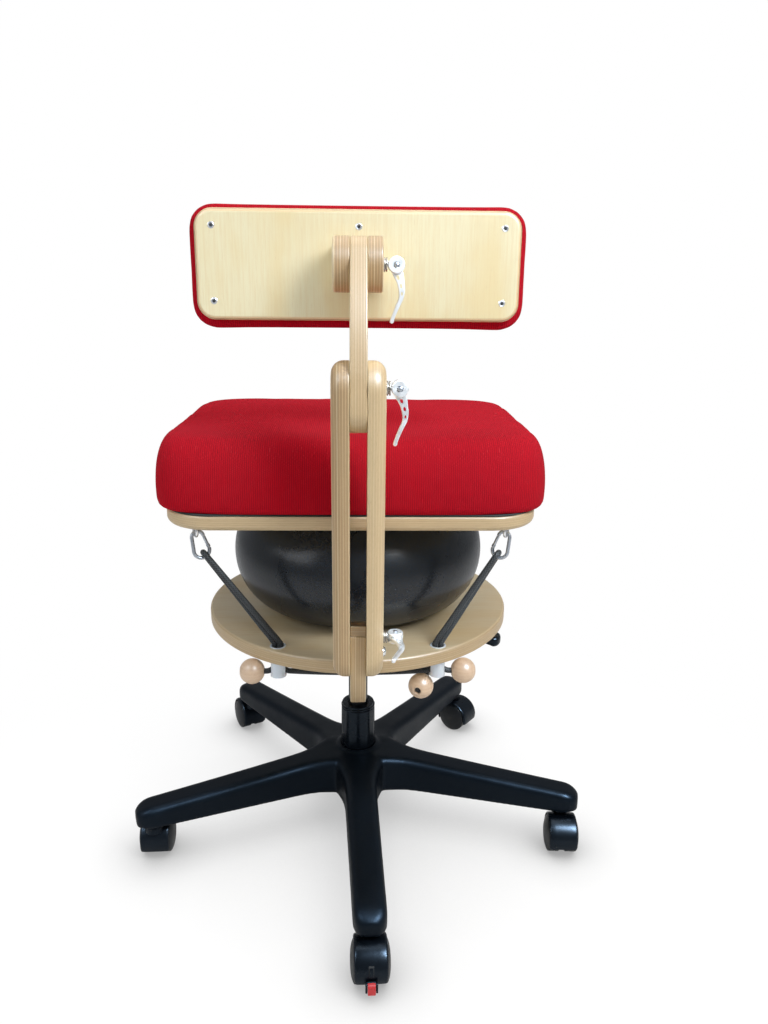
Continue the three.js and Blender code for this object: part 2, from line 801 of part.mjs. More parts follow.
function carabinerGate({ place, side, end }) {
  const { down, across, top } = hookFrame(side, end);
  const high = top.clone().addScaledVector(across, hookNeckHalfWidth)
    .addScaledVector(down, hookNeckHalfWidth);
  const low = top.clone().addScaledVector(across, hookHalfWidth)
    .addScaledVector(down, hookNeckHalfWidth + hookStraight);
  const along = low.clone().sub(high).normalize();
  const gate = rod(gateWireRadius, high.addScaledVector(along, gateEndGap).toArray(),
    low.addScaledVector(along, -gateEndGap).toArray(), wireSides);
  return piece(`carabiner_gate_${place}`, gate, finishes.steel());
}

// One strand from the tube's side slot up the tube and along the strap to the carabiner.
// lane is 1 for the strand that leaves outward and -1 for the one that leaves inward.
function strandPoints(side, end, lane) {
  const x = side * (tubeX + lane * strandOffset);
  const y = end * tubeY;
  const elbowTop = discBottom + elbowRise;
  const steps = elbowSteps;
  const points = [];
  for (let i = 0; i <= steps; i += 1) {
    const angle = Math.PI / 2 * i / steps;
    const out = elbowRadius * (1 - Math.sin(angle));
    points.push(new THREE.Vector3(x + side * lane * out, y, elbowTop - elbowRadius * Math.cos(angle)));
  }
  const mouth = discTop + mouthRise;
  points.push(new THREE.Vector3(x, y, mouth));
  const { apart, foot, pull } = hookFrame(side, end);
  const turnRadius = hookWireRadius + cordRadius + fitGap;
  const high = foot.clone().addScaledVector(apart, lane * turnRadius);
  const low = new THREE.Vector3(x, y, mouth);
  const bend = low.clone().lerp(high, 0.08);
  bend.x -= side * 0.35;
  points.push(bend);
  [0.36, 0.7, 0.92].forEach((share) => points.push(low.clone().lerp(high, share)));
  points.push(high);
  return { points, foot, pull, apart, turnRadius };
}

// The whole stretch between the two side slots of one tube, over its carabiner
function cornerLoop(side, end, fromLane) {
  const up = strandPoints(side, end, fromLane);
  const back = strandPoints(side, end, -fromLane);
  const turn = [];
  for (let i = 1; i < turnSteps; i += 1) {
    const angle = Math.PI * i / turnSteps;
    turn.push(up.foot.clone()
      .addScaledVector(up.apart, fromLane * up.turnRadius * Math.cos(angle))
      .addScaledVector(up.pull, -up.turnRadius * Math.sin(angle)));
  }
  return [...up.points, ...turn, ...back.points.reverse()];
}

function crossRun(end) {
  const level = discBottom + elbowRise - elbowRadius;
  const half = tubeX - strandOffset - elbowRadius;
  const sagShares = [
    [-0.86, 0.12], [-0.6, 0.5], [-0.3, 0.88], [0, 1], [0.3, 0.88], [0.6, 0.5], [0.86, 0.12],
  ];
  return sagShares.map(([across, fall]) =>
    new THREE.Vector3(across * half, end * tubeY, level - fall * runSag));
}

function underDisc([across, along], drop) {
  return new THREE.Vector3(across * tubeX, along * tubeY, discBottom - drop);
}

function tailRoute() {
  return tailRouteShares.map((shares, i) => underDisc(shares, tailDrops[i]));
}

function beadAxis(place) {
  const level = discBottom + elbowRise - elbowRadius;
  const reach = tubeX + beadSpacing;
  if (place === 'tail') {
    const last = tailRoute()[tailDrops.length - 1];
    const centre = underDisc(tailBeadShares, tailBeadDrop);
    return { centre, axis: centre.clone().sub(last).normalize() };
  }
  const side = place.endsWith('left') ? -1 : 1;
  const end = place.startsWith('rear') ? -1 : 1;
  return {
    centre: new THREE.Vector3(side * reach, end * tubeY, level),
    axis: new THREE.Vector3(side, 0, 0),
  };
}

// The cord's last points, straight through the ball to just inside its far side
function throughBead(place) {
  const { centre, axis } = beadAxis(place);
  return [-0.5, 0, 1 - beadEndInset / beadRadius]
    .map((share) => centre.clone().addScaledVector(axis, share * beadRadius));
}

function rearCord() {
  const points = [
    ...throughBead('rear_left').reverse(),
    ...cornerLoop(-1, -1, 1),
    ...crossRun(-1),
    ...cornerLoop(1, -1, -1),
    ...throughBead('rear_right'),
  ];
  return piece('elastic_cord_rear', tubeThrough(points, cordRadius, cordSides), finishes.elastic());
}

function frontCord() {
  const points = [
    ...throughBead('front_left').reverse(),
    ...cornerLoop(-1, 1, 1),
    ...crossRun(1),
    ...cornerLoop(1, 1, -1),
    ...tailRoute(),
    ...throughBead('tail'),
  ];
  return piece('elastic_cord_front', tubeThrough(points, cordRadius, cordSides), finishes.elastic());
}

function woodenBall(place) {
  const { centre, axis } = beadAxis(place);
  const turn = new THREE.Quaternion().setFromUnitVectors(new THREE.Vector3(0, 1, 0), axis);
  const reach = beadRadius + cutOverrun;
  const hole = rod(beadHoleRadius, [0, -reach, 0], [0, reach, 0], smallSides);
  const ball = new THREE.SphereGeometry(beadRadius, 12, 7);
  const drilled = cut(ball, hole).applyQuaternion(turn).translate(centre.x, centre.y, centre.z);
  return piece(`wooden_ball_${place}`, drilled, finishes.beech());
}

// The exercise ball: an inflated skin with its valve hole at the top, pressed flat at both ends
function exerciseBall() {
  const middle = discTop + ballHeight / 2;
  const skin = (inset, steps) => {
    const half = ballHeight / 2 - fitGap - inset;
    return Array.from({ length: steps + 1 }, (_, i) => {
      const angle = -Math.PI / 2 + Math.PI * i / steps;
      const round = Math.pow(Math.max(Math.cos(angle), 0), ballFullnessShare);
      const radius = ballPatchRadius + (ballRadius - ballPatchRadius - inset) * round;
      return [radius, middle + half * Math.sin(angle)];
    });
  };
  const outer = skin(0, ballSteps);
  const inner = skin(ballWall, ballSteps / 2);
  const [low, high] = [outer[0][1], outer[outer.length - 1][1]];
  return piece('exercise_ball', turned([
    [0, low], ...outer, [ballValveRadius, high], [ballValveRadius, high - ballWall],
    ...inner.reverse(), [0, low + ballWall],
  ], ballSides), finishes.rubberBall());
}

function seatBoard() {
  const shape = roundedRectangle(boardHalfWidth, boardHalfDepth, boardCorner, seatShift, -seatSetBack);
  return piece('seat_board', plateZ(shape, boardBottom, boardTop, boardEdge), finishes.birch());
}

// A rounded rectangle as a ring of points, the same number whatever its size
function ringPoints(halfX, halfY, corner) {
  const cornerSteps = padCornerSteps;
  const sideSteps = padSideSteps;
  const centres = [[1, -1], [1, 1], [-1, 1], [-1, -1]];
  const corners = centres.map(([sx, sy], k) => Array.from({ length: cornerSteps + 1 }, (_, i) => {
    const angle = (k - 1) * Math.PI / 2 + Math.PI / 2 * i / cornerSteps;
    return [sx * (halfX - corner) + corner * Math.cos(angle),
      sy * (halfY - corner) + corner * Math.sin(angle)];
  }));
  const ring = [];
  corners.forEach((arc, k) => {
    ring.push(...arc);
    const [x0, y0] = arc[cornerSteps];
    const [x1, y1] = corners[(k + 1) % corners.length][0];
    for (let i = 1; i < sideSteps; i += 1) {
      const share = i / sideSteps;
      ring.push([x0 + (x1 - x0) * share, y0 + (y1 - y0) * share]);
    }
  });
  return ring;
}

// A crowned pad lying in the XY plane, its sides drawn in at the foot and the top
function padGeometry(size) {
  const rings = [];
  const quarter = [0, 0.25, 0.5, 0.75, 1];
  const addRing = (inset, height) => {
    const corner = Math.max(size.corner - inset, size.corner * 0.3);
    rings.push(ringPoints(size.halfX - inset, size.halfY - inset, corner)
      .map(([x, y]) => [x, y, height]));
  };
  quarter.forEach((share) => {
    const angle = share * Math.PI / 2;
    addRing(size.footInset * (1 - Math.sin(angle)), size.footRise * (1 - Math.cos(angle)));
  });
  quarter.forEach((share) => {
    const angle = share * Math.PI / 2;
    addRing(size.topInset * (1 - Math.cos(angle)),
      size.height - size.topRise * (1 - Math.sin(angle)));
  });
  const rim = rings[rings.length - 1];
  [0.78, 0.5, 0.22].forEach((share) => {
    const rise = size.crown * (1 - share * share);
    rings.push(rim.map(([x, y]) => [x * share, y * share, size.height + rise]));
  });
  return closeRings(rings, [0, 0, 0], [0, 0, size.height + size.crown]);
}

// Joins a row of equal rings into one closed skin, each end closed at a point of its own
function closeRings(rings, footPoint, peakPoint) {
  const count = rings[0].length;
  const corners = rings.flat();
  const faces = [];
  for (let j = 0; j + 1 < rings.length; j += 1) {
    for (let i = 0; i < count; i += 1) {
      const [a, b] = [j * count + i, j * count + (i + 1) % count];
      faces.push([a, b, b + count], [a, b + count, a + count]);
    }
  }
  const foot = corners.push(footPoint) - 1;
  const peak = corners.push(peakPoint) - 1;
  const last = (rings.length - 1) * count;
  for (let i = 0; i < count; i += 1) {
    const next = (i + 1) % count;
    faces.push([foot, next, i], [peak, last + i, last + next]);
  }
  const geometry = new THREE.BufferGeometry();
  geometry.setAttribute('position', new THREE.Float32BufferAttribute(corners.flat(), 3));
  geometry.setIndex(faces.flat());
  return geometry;
}

function seatCushion() {
  const pad = padGeometry({
    halfX: cushionHalfWidth, halfY: cushionHalfDepth, corner: cushionCorner,
    height: cushionHeight, crown: cushionCrown, footRise: cushionFootRise,
    footInset: cushionFootInset, topRise: cushionTopRise, topInset: cushionTopInset,
  });
  pad.translate(seatShift, -seatSetBack, boardTop + fitGap);
  return piece('seat_cushion', pad, finishes.redKnit());
}

// The long outline of a straight board with round ends, drawn in Y and Z
function stadium(from, to, radius) {
  const lean = Math.atan2(to[1] - from[1], to[0] - from[0]);
  const shape = new THREE.Shape();
  shape.absarc(from[0], from[1], radius, lean + Math.PI / 2, lean + Math.PI * 3 / 2);
  shape.absarc(to[0], to[1], radius, lean - Math.PI / 2, lean + Math.PI / 2);
  return shape;
}

// The tilt skewer stands on the uprights' middle line, a little above the pivot bolt
function tiltSkewerPlace() {
  const pivot = new THREE.Vector2(pivotY, pivotZ);
  const arm = new THREE.Vector2(armPivotY, armPivotZ);
  const line = arm.sub(pivot).normalize();
  return pivot.addScaledVector(line, tiltSkewerRise);
}

function acrossHole(radius, y, z) {
  const reach = gapHalf + uprightThickness + cutOverrun;
  return rod(radius, [-reach, y, z], [reach, y, z]);
}

// A round pocket that sinks a nut below the outer face at X = side * outer
function nutRecess(side, outer, radius, height, y, z) {
  return rod(radius + nutClearance, [side * (outer - nutSink - height - fitGap), y, z],
    [side * (outer + cutOverrun), y, z]);
}

// An upright: a wide round-over outside, square edges along the gap
function upright(name, side) {
  const shape = stadium([pivotY, pivotZ], [armPivotY, armPivotZ], uprightRadius);
  const outer = gapHalf + uprightThickness;
  const whole = boardX(shape, gapHalf - uprightThickness, outer, uprightEdge, 2, smallSides);
  const reach = [-2 * uprightRadius + armPivotY, 2 * uprightRadius + pivotY];
  const half = keep(whole, box([gapHalf, outer + cutOverrun], reach,
    [pivotZ - 2 * uprightRadius, armPivotZ + 2 * uprightRadius]));
  const skewer = tiltSkewerPlace();
  const board = cut(half,
    acrossHole(boltRadius + boltClearance, pivotY, pivotZ),
    acrossHole(skewerRadius + skewerClearance, skewer.x, skewer.y),
    acrossHole(skewerRadius + skewerClearance, armPivotY, armPivotZ));
  if (side > 0) return piece(name, board, finishes.birch());
  const recessed = cut(board,
    nutRecess(1, outer, boltHeadRadius, boltHeadHeight, pivotY, pivotZ),
    nutRecess(1, outer, skewerNutRadius, skewerNutHeight, skewer.x, skewer.y),
    nutRecess(1, outer, skewerNutRadius, skewerNutHeight, armPivotY, armPivotZ));
  return piece(name, recessed.applyMatrix4(new THREE.Matrix4().makeScale(-1, 1, 1)), finishes.birch());
}

// The bracket: a beam under the disc and a post behind it, between the uprights
function backBracket() {
  const beamTop = discBottom - fitGap;
  const shape = new THREE.Shape();
  shape.moveTo(bracketRear, bracketTop);
  shape.absarc(bracketRear + bracketHeelRadius, bracketBottom + bracketHeelRadius,
    bracketHeelRadius, Math.PI, Math.PI * 3 / 2);
  shape.lineTo(bracketFront - bracketToeCut, bracketBottom);
  shape.lineTo(bracketFront, bracketBottom + bracketToeCut);
  shape.lineTo(bracketFront, beamTop);
  shape.lineTo(bracketPostFront + bracketThroatRadius, beamTop);
  shape.lineTo(bracketPostFront, beamTop + bracketThroatRadius);
  shape.lineTo(bracketPostFront, bracketTop);
  const board = boardX(shape, -plyThickness / 2, plyThickness / 2);
  const runZ = discBottom + elbowRise - elbowRadius - runSag;
  return piece('back_bracket', cut(board,
    acrossHole(boltRadius + boltClearance, pivotY, pivotZ),
    tiltSlot(),
    acrossHole(cordHoleRadius, -tubeY, runZ)), finishes.birch());
}

// The arc slot that the tilt skewer sweeps as the uprights lean
function tiltSlot() {
  const skewer = tiltSkewerPlace();
  const start = Math.atan2(skewer.y - pivotZ, skewer.x - pivotY);
  const wide = skewerRadius + skewerClearance * 2;
  const spread = rad(tiltSweepDegrees);
  const [low, high] = [start - spread / 4, start + spread];
  const shape = new THREE.Shape();
  const near = tiltSkewerRise - wide;
  const far = tiltSkewerRise + wide;
  const cap = wide / tiltSkewerRise;
  shape.absarc(pivotY, pivotZ, far, low - cap, high + cap, false);
  shape.absarc(pivotY, pivotZ, near, high + cap, low - cap, true);
  return boardX(shape, -plyThickness, plyThickness);
}

function bracketCap() {
  const low = bracketTop + fitGap;
  return piece('bracket_cap', box([-plyThickness / 2, plyThickness / 2],
    [bracketRear, bracketPostFront], [low, low + capThickness]), finishes.birch());
}

function pivotBolt() {
  const outer = gapHalf + uprightThickness + fitGap;
  const head = turned([
    [0, outer], [boltHeadRadius, outer], [boltHeadRadius * 0.8, outer + boltHeadHeight * 0.7],
    [0, outer + boltHeadHeight],
  ], smallSides).rotateY(Math.PI / 2);
  const nutOuter = gapHalf + uprightThickness - nutSink;
  const shank = rod(boltRadius, [-nutOuter + fitGap, 0, 0], [outer + fitGap, 0, 0]);
  const nut = rod(boltHeadRadius, [-nutOuter, 0, 0], [-nutOuter + boltHeadHeight, 0, 0], wireSides);
  return piece('pivot_bolt', fuse(shank, head, nut).translate(0, pivotY, pivotZ), finishes.steel());
}

// A skewer drawn along X through boards whose outer faces are at plus and minus half
function skewerGeometry(half) {
  const face = half + fitGap;
  const washer = rod(skewerNutRadius, [face, 0, 0], [face + skewerWasherThickness, 0, 0]);
  const collarEnd = half + camOffset - camRadius - fitGap;
  const collar = rod(skewerCollarRadius, [face, 0, 0], [collarEnd, 0, 0]);
  const nutOuter = half - nutSink;
  const nut = rod(skewerNutRadius, [-nutOuter, 0, 0], [-nutOuter + skewerNutHeight, 0, 0], wireSides);
  const shank = rod(skewerRadius, [-nutOuter + fitGap, 0, 0], [half + camOffset, 0, 0]);
  const pinHalf = camWidth / 2 + camPinProud;
  const pin = rod(camPinRadius, [half + camOffset, -pinHalf, 0], [half + camOffset, pinHalf, 0]);
  return fuse(shank, washer, collar, nut, pin);
}

// The middle of the lever's curved blade, which hangs below its cam
function bladeMiddle(share) {
  const bow = bladeBow * Math.sin(Math.PI * share) * (1 - share * 0.35);
  return [bow - bladeTipInset * share * share, -bladeLength * share];
}

function bladeGeometry() {
  const shares = [0, 0.13, 0.25, 0.37, 0.5, 0.64, 0.82, 1];
  const edge = (side) => shares.map((share) => {
    const [x, z] = bladeMiddle(share);
    const thinning = (bladeHalfWidth - bladeTipHalfWidth) * Math.pow(share, 2.2);
    return [x + side * (bladeHalfWidth - thinning), z];
  });
  const half = bladeThickness / 2;
  return plateZ(outline([...edge(1), ...edge(-1).reverse()]), -half, half).rotateX(Math.PI / 2);
}

function bladeWindows() {
  return [0.24, 0.37, 0.5].map((share) => {
    const [x, z] = bladeMiddle(share);
    return rod(bladeHoleWidth, [0, -bladeThickness, 0], [0, bladeThickness, 0], wireSides)
      .scale(1, 1, bladeHoleStretch).translate(x, 0, z);
  });
}

function leverGeometry() {
  const halfCam = camWidth / 2;
  const cam = rod(camRadius, [0, -halfCam, 0], [0, halfCam, 0], turnedSides);
  const reach = camRadius + cutOverrun;
  const slotHalf = camSlotWidth / 2;
  const slot = box([-reach, reach], [-slotHalf, slotHalf], [-slotHalf, reach]);
  const bore = rod(camPinRadius + camPinClearance, [0, -camWidth, 0], [0, camWidth, 0]);
  return cut(fuse(cam, bladeGeometry()), slot, bore, ...bladeWindows());
}

// A skewer and its lever; turn leans the lever about the skewer's axis
function quickRelease(label, half, y, z, turn = 0) {
  const skewer = piece(`${label}_skewer`, skewerGeometry(half), finishes.steel());
  const lever = piece(`${label}_lever`, leverGeometry(), finishes.steel());
  lever.position.x = half + camOffset;
  const set = new THREE.Group();
  set.add(skewer, lever);
  set.position.set(0, y, z);
  set.rotation.x = turn;
  return set;
}

// The arm's middle line bows rearward between its pivot and the knuckle
function armShape() {
  const low = new THREE.Vector2(armPivotY, armPivotZ);
  const high = new THREE.Vector2(knuckleY, knuckleZ);
  const along = high.clone().sub(low);
  const lean = Math.atan2(along.y, along.x);
  const rearward = new THREE.Vector2(-Math.sin(lean), Math.cos(lean));
  const edge = (side) => [0, 0.2, 0.4, 0.6, 0.8, 1].map((share) => {
    const half = armHalfWidth + (knuckleRadius - armHalfWidth) * share;
    const bow = armBulge * Math.sin(Math.PI * share) * (1 - share * 0.2);
    return low.clone().lerp(high, share).addScaledVector(rearward, side * half + bow);
  });
  const roundEnd = (centre, radius, start) => [1, 2, 3, 4, 5, 6, 7].map((i) => {
    const angle = start - Math.PI * i / 8;
    return new THREE.Vector2(centre.x + radius * Math.cos(angle), centre.y + radius * Math.sin(angle));
  });
  const foot = low.clone().add(new THREE.Vector2(0, -armTail));
  return new THREE.Shape([
    ...edge(1),
    ...roundEnd(high, knuckleRadius, lean + Math.PI / 2),
    ...edge(-1).reverse(),
    ...roundEnd(foot, armHalfWidth, 0),
  ]);
}

function upperArm() {
  const board = boardX(armShape(), -plyThickness / 2, plyThickness / 2, armEdge, 1);
  return piece('upper_arm', cut(board,
    acrossHole(skewerRadius + skewerClearance, armPivotY, armPivotZ),
    acrossHole(skewerRadius + skewerClearance, knuckleY, knuckleZ)), finishes.birch());
}

// A round cheek beside the arm, squared off in front where it is glued to the panel
function cheek(name, side) {
  const shape = new THREE.Shape();
  const front = panelRearY - fitGap;
  const meet = Math.asin(cheekBlockHalfHeight / knuckleRadius);
  shape.absarc(knuckleY, knuckleZ, knuckleRadius, meet, 2 * Math.PI - meet, false);
  shape.lineTo(front, knuckleZ - cheekBlockHalfHeight);
  shape.lineTo(front, knuckleZ + cheekBlockHalfHeight);
  const reach = [side * gapHalf, side * (gapHalf + cheekThickness)].sort((a, b) => a - b);
  const block = boardX(shape, reach[0], reach[1], armEdge, 1, smallSides);
  const bored = cut(block, acrossHole(skewerRadius + skewerClearance, knuckleY, knuckleZ));
  if (side > 0) return piece(name, bored, finishes.birch());
  const pocket = nutRecess(side, gapHalf + cheekThickness, skewerNutRadius, skewerNutHeight,
    knuckleY, knuckleZ);
  return piece(name, cut(bored, pocket), finishes.birch());
}

// The panel's rear edge is rounded over; its front face is flat against the pad
function backPanel() {
  const shape = roundedRectangle(panelHalfWidth, panelHalfHeight, panelCorner);
  const whole = plateZ(shape, -panelThickness, panelThickness, panelEdge, 3);
  const half = keep(whole, box([-panelHalfWidth, panelHalfWidth], [-panelHalfHeight, panelHalfHeight],
    [-panelThickness - cutOverrun, 0]));
  const standing = half.rotateX(-Math.PI / 2).translate(0, panelFrontY, knuckleZ - panelDrop);
  return piece('back_panel', standing, finishes.birch());
}

function backCushion() {
  const pad = padGeometry({
    halfX: padHalfWidth, halfY: padHalfHeight, corner: padCorner,
    height: padHeight, crown: padCrown, footRise: padFootRise,
    footInset: padFootInset, topRise: padTopRise, topInset: padTopInset,
  });
  pad.rotateX(-Math.PI / 2).translate(0, panelFrontY + fitGap, knuckleZ - padDrop);
  return piece('back_cushion', pad, finishes.redKnit());
}

function base() {
  const group = new THREE.Group();
  group.add(starBase(), ...casters(), columnTube(), columnBush(), gasRod());
  return group;
}

function carriage() {
  const group = new THREE.Group();
  group.add(gasCylinder(), liftPlate(), liftLever(), baseDisc(), backBracket(), bracketCap());
  group.add(...cordCorners.map(cordTube), rearCord(), frontCord());
  group.add(...['rear_left', 'rear_right', 'front_left', 'tail'].map(woodenBall));
  return group;
}

function seat() {
  const group = new THREE.Group();
  group.add(exerciseBall(), seatBoard(), seatCushion());
  cordCorners.forEach((corner) => group.add(eyeBolt(corner), carabiner(corner), carabinerGate(corner)));
  return group;
}

function back() {
  const group = new THREE.Group();
  const skewer = tiltSkewerPlace();
  const uprightOuter = gapHalf + uprightThickness;
  group.add(upright('upright_left', -1), upright('upright_right', 1), pivotBolt(), upperArm());
  group.add(quickRelease('tilt', uprightOuter, skewer.x, skewer.y, rad(tiltLeverTurnDegrees)));
  group.add(quickRelease('arm', uprightOuter, armPivotY, armPivotZ));
  group.add(cheek('cheek_left', -1), cheek('cheek_right', 1), backPanel(), backCushion());
  group.add(quickRelease('back', gapHalf + cheekThickness, knuckleY, knuckleZ));
  return group;
}

const chair = new THREE.Group();
chair.add(base(), carriage(), seat(), back());

// The origin is on the floor, at the middle of the chair's box
chair.updateMatrixWorld(true);
const bounds = new THREE.Box3().setFromObject(chair, true);
const centre = bounds.getCenter(new THREE.Vector3());
chair.position.set(-centre.x, -centre.y, -bounds.min.z);

export default chair;
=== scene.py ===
"""A balance ball chair: the visible pieces, dressed around the packed model.

Lengths in the tables are millimetres from the gas lift's axis on the floor;
+X is the sitter's right, +Y the sitter's front, +Z up.
"""

import functools
import math
from math import cos, pi, radians, sin, tau

import bmesh
import bpy
import numpy as np
from mathutils import Matrix, Quaternion, Vector


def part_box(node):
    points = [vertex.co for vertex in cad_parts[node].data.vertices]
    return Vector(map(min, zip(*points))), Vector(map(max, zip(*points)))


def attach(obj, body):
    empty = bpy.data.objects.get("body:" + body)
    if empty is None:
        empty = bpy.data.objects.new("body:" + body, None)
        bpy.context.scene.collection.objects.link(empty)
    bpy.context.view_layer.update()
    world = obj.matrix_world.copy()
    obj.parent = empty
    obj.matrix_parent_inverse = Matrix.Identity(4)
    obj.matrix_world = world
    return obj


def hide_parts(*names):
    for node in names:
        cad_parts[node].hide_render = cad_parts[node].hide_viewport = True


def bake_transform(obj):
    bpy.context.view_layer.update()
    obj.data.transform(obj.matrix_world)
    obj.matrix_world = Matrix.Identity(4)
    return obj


bl_info = {
    "name": "Balance ball chair",
    "version": (1, 0, 0),
    "blender": (4, 5, 0),
    "location": "3D View > Sidebar > Chair",
    "description": "Builds the visible pieces of a balance ball chair and its studio",
    "category": "Object",
}

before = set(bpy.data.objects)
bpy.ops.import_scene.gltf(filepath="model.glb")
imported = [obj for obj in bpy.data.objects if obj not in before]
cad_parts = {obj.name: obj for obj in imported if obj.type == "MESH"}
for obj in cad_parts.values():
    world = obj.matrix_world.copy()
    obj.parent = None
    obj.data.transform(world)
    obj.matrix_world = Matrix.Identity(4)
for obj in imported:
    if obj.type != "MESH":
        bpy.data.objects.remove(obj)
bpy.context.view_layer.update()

MM = 0.001
LIFT_LOW, LIFT_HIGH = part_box("gas_cylinder")
ORIGIN = Vector(((LIFT_LOW[0] + LIFT_HIGH[0]) / 2, (LIFT_LOW[1] + LIFT_HIGH[1]) / 2, 0))
X, Y, Z = Vector((1, 0, 0)), Vector((0, 1, 0)), Vector((0, 0, 1))

# Gap left between neighbouring pieces
CLEARANCE = 0.3

# Star base and casters
LEG_COUNT = 5
LEG_TURN = radians(-90 + 2.7)
LEG_REACH = 330
LEG_INNER, LEG_ROUNDED = 34, 306
LEG_BOTTOM = 58.7
LEG_ROOT, LEG_TIP = 55.5, 28.6
HUB_HEIGHT = 58.6
BASE_VOXEL = 0.0023
COLUMN_BORE = 26.4
AXLE = 24.62
CASTER_WIDTH = 48
CASTER_INSET = 24
CASTER_TRAIL = 18
CASTERS = (("rear", 272), ("right", 266), ("front_right", 322), ("front_left", 118), ("left", 92))

# Gas lift
COLUMN_TOP = 179
LIFT_FOOT = 129

# Disc, tubes, cords and balls
DISC_RADIUS = 209
DISC_TOP = 352.5
PLY = 18
DISC_BOTTOM = DISC_TOP - PLY
LIFT_TOP = DISC_BOTTOM - 6.6
TUBE_X, TUBE_Y = 100.02, 165.41
TUBE_RADIUS, TUBE_WALL, TUBE_SLOT = 10, 1.9, 4.3
CORD_RADIUS = 3.5
STRAND_OFFSET = CORD_RADIUS + 0.2
RUN_LEVEL = DISC_BOTTOM - 16.5
RUN_SAG = 2.5
BEAD_RADIUS = 16
CORNERS = (("rear_left", -1, -1), ("rear_right", 1, -1), ("front_left", -1, 1), ("front_right", 1, 1))

# Ball, seat board and cushions
BALL_RADIUS = 172
BALL_PATCH = 95
BALL_RISE = 79.95
BOARD_BOTTOM = 513
BOARD_TOP = BOARD_BOTTOM + PLY
SEAT_X, SEAT_Y = -8, -10
CLOTH_FRAMES = 20
BALL_MIDDLE = (DISC_TOP + BOARD_BOTTOM) / 2

# Uprights, arm and backrest
GAP = 9.3
UPRIGHT = 19
PIVOT = (-242.7, 381)
ARM_PIVOT = (-266, 686)
KNUCKLE = (-214, 808)
UPRIGHT_RADIUS = 28
KNUCKLE_RADIUS = 28.5
CHEEK, CHEEK_HALF = 16, 21
BOLT_POCKET = (6.5, 5.3)
SKEWER_POCKET = (7.5, 8.3)
TILT_LEVER_TURN = radians(-88)
PANEL_REAR = -183.5
PANEL_FRONT = -170.5

# Hooks: eyes under the board, pear-shaped wires that hang from them
EYE_X = 186.5
EYE_RING = 7
EYE_WIRE = 2
HOOK_WIRE = 2.2
HOOK_NECK, HOOK_HALF, HOOK_STRAIGHT = 7, 9.5, 17
HOOK_SLANT = radians(14)
HOOK_TWIST = radians(65)

# Camera: pitch, yaw and roll, place, and focal length in the photograph's pixels
CAMERA_ANGLES = (radians(15.74), radians(1.84), radians(0.61))
CAMERA_PLACE = (0.454, -1103.584, 790.69)
FOCAL_PIXELS = 816.26
PHOTO_WIDTH = 768
SENSOR = 36.0


def length_of(name, note, default, least):
    return bpy.props.FloatProperty(name=name, description=note, default=default, min=least, unit="LENGTH")


def colour_of(name, note, default):
    return bpy.props.FloatVectorProperty(name=name, description=note, default=default, min=0, max=1,
                                         subtype="COLOR")


class ChairSizes(bpy.types.PropertyGroup):
    """Sizes of the finish that a user would change."""

    rib_pitch: length_of("Rib pitch", "Distance between the cover's ribs", 0.0024, 0.001)
    ply_layers: bpy.props.IntProperty(
        name="Plywood layers", description="Veneers through a board's thickness", default=13, min=3)
    cover_swell: length_of(
        "Cover swell", "Most that a cushion may swell while its cover is drawn", 0.003, 0.0)
    braid_pitch: length_of(
        "Braid pitch", "Length of one crossing of the elastic cord's braid", 0.0032, 0.001)
    floor_size: length_of("Floor size", "Side of the studio floor", 14.0, 2.0)


class ChairColours(bpy.types.PropertyGroup):
    """Colours that a user would change."""

    knit: colour_of("Knit", "The cushions' knitted cover", (0.5, 0.0035, 0.013))
    birch: colour_of("Birch", "Light face veneer", (0.83, 0.71, 0.49))
    birch_dark: colour_of("Birch end grain", "Darker veneers on a sawn edge", (0.40, 0.23, 0.10))
    beech: colour_of("Beech", "Turned wooden balls", (0.78, 0.58, 0.41))
    nylon: colour_of("Nylon", "Base, casters and bush", (0.0014, 0.0024, 0.0042))
    vinyl: colour_of("Vinyl", "Exercise ball", (0.008, 0.0105, 0.0145))
    pedal: colour_of("Pedal", "Brake pedal", (0.62, 0.025, 0.03))


def sizes():
    return bpy.context.scene.chair_sizes


def colours():
    return bpy.context.scene.chair_colours


def at(x, y, z):
    """A place in the frame from millimetres off the gas lift's axis."""
    return ORIGIN + Vector((x, y, z)) * MM


def configure(target, **settings):
    """Sets several attributes of one thing and returns it."""
    for key, value in settings.items():
        setattr(target, key, value)
    return target


def add_object(name, data):
    made = bpy.data.objects.new(name, data)
    bpy.context.scene.collection.objects.link(made)
    return made


# ---- node trees ----

def node(tree, kind, inputs=None, **settings):
    """Adds a node, applies its settings, then sets or links its inputs."""
    made = configure(tree.nodes.new(kind), **settings)
    for key, value in (inputs or {}).items():
        socket = made.inputs[key]
        if isinstance(value, bpy.types.NodeSocket):
            tree.links.new(value, socket)
        else:
            socket.default_value = value
    return made


def maths(tree, operation, *values):
    return node(tree, "ShaderNodeMath", dict(enumerate(values)), operation=operation).outputs[0]


def times(tree, first, second):
    return maths(tree, "MULTIPLY", first, second)


def blend_colours(tree, factor, first, second, mode="MIX"):
    made = node(tree, "ShaderNodeMix", data_type="RGBA", blend_type=mode)
    for socket, value in ((made.inputs[0], factor), (made.inputs[6], first), (made.inputs[7], second)):
        if isinstance(value, bpy.types.NodeSocket):
            tree.links.new(value, socket)
        elif socket == made.inputs[0]:
            socket.default_value = value
        else:
            socket.default_value = (*value[:3], 1)
    return made.outputs[2]


def remap(tree, value, low, high, to_low=0.0, to_high=1.0, smooth=True):
    made = node(tree, "ShaderNodeMapRange", {
        "Value": value, "From Min": low, "From Max": high, "To Min": to_low, "To Max": to_high,
    }, interpolation_type="SMOOTHSTEP" if smooth else "LINEAR")
    return made.outputs[0]


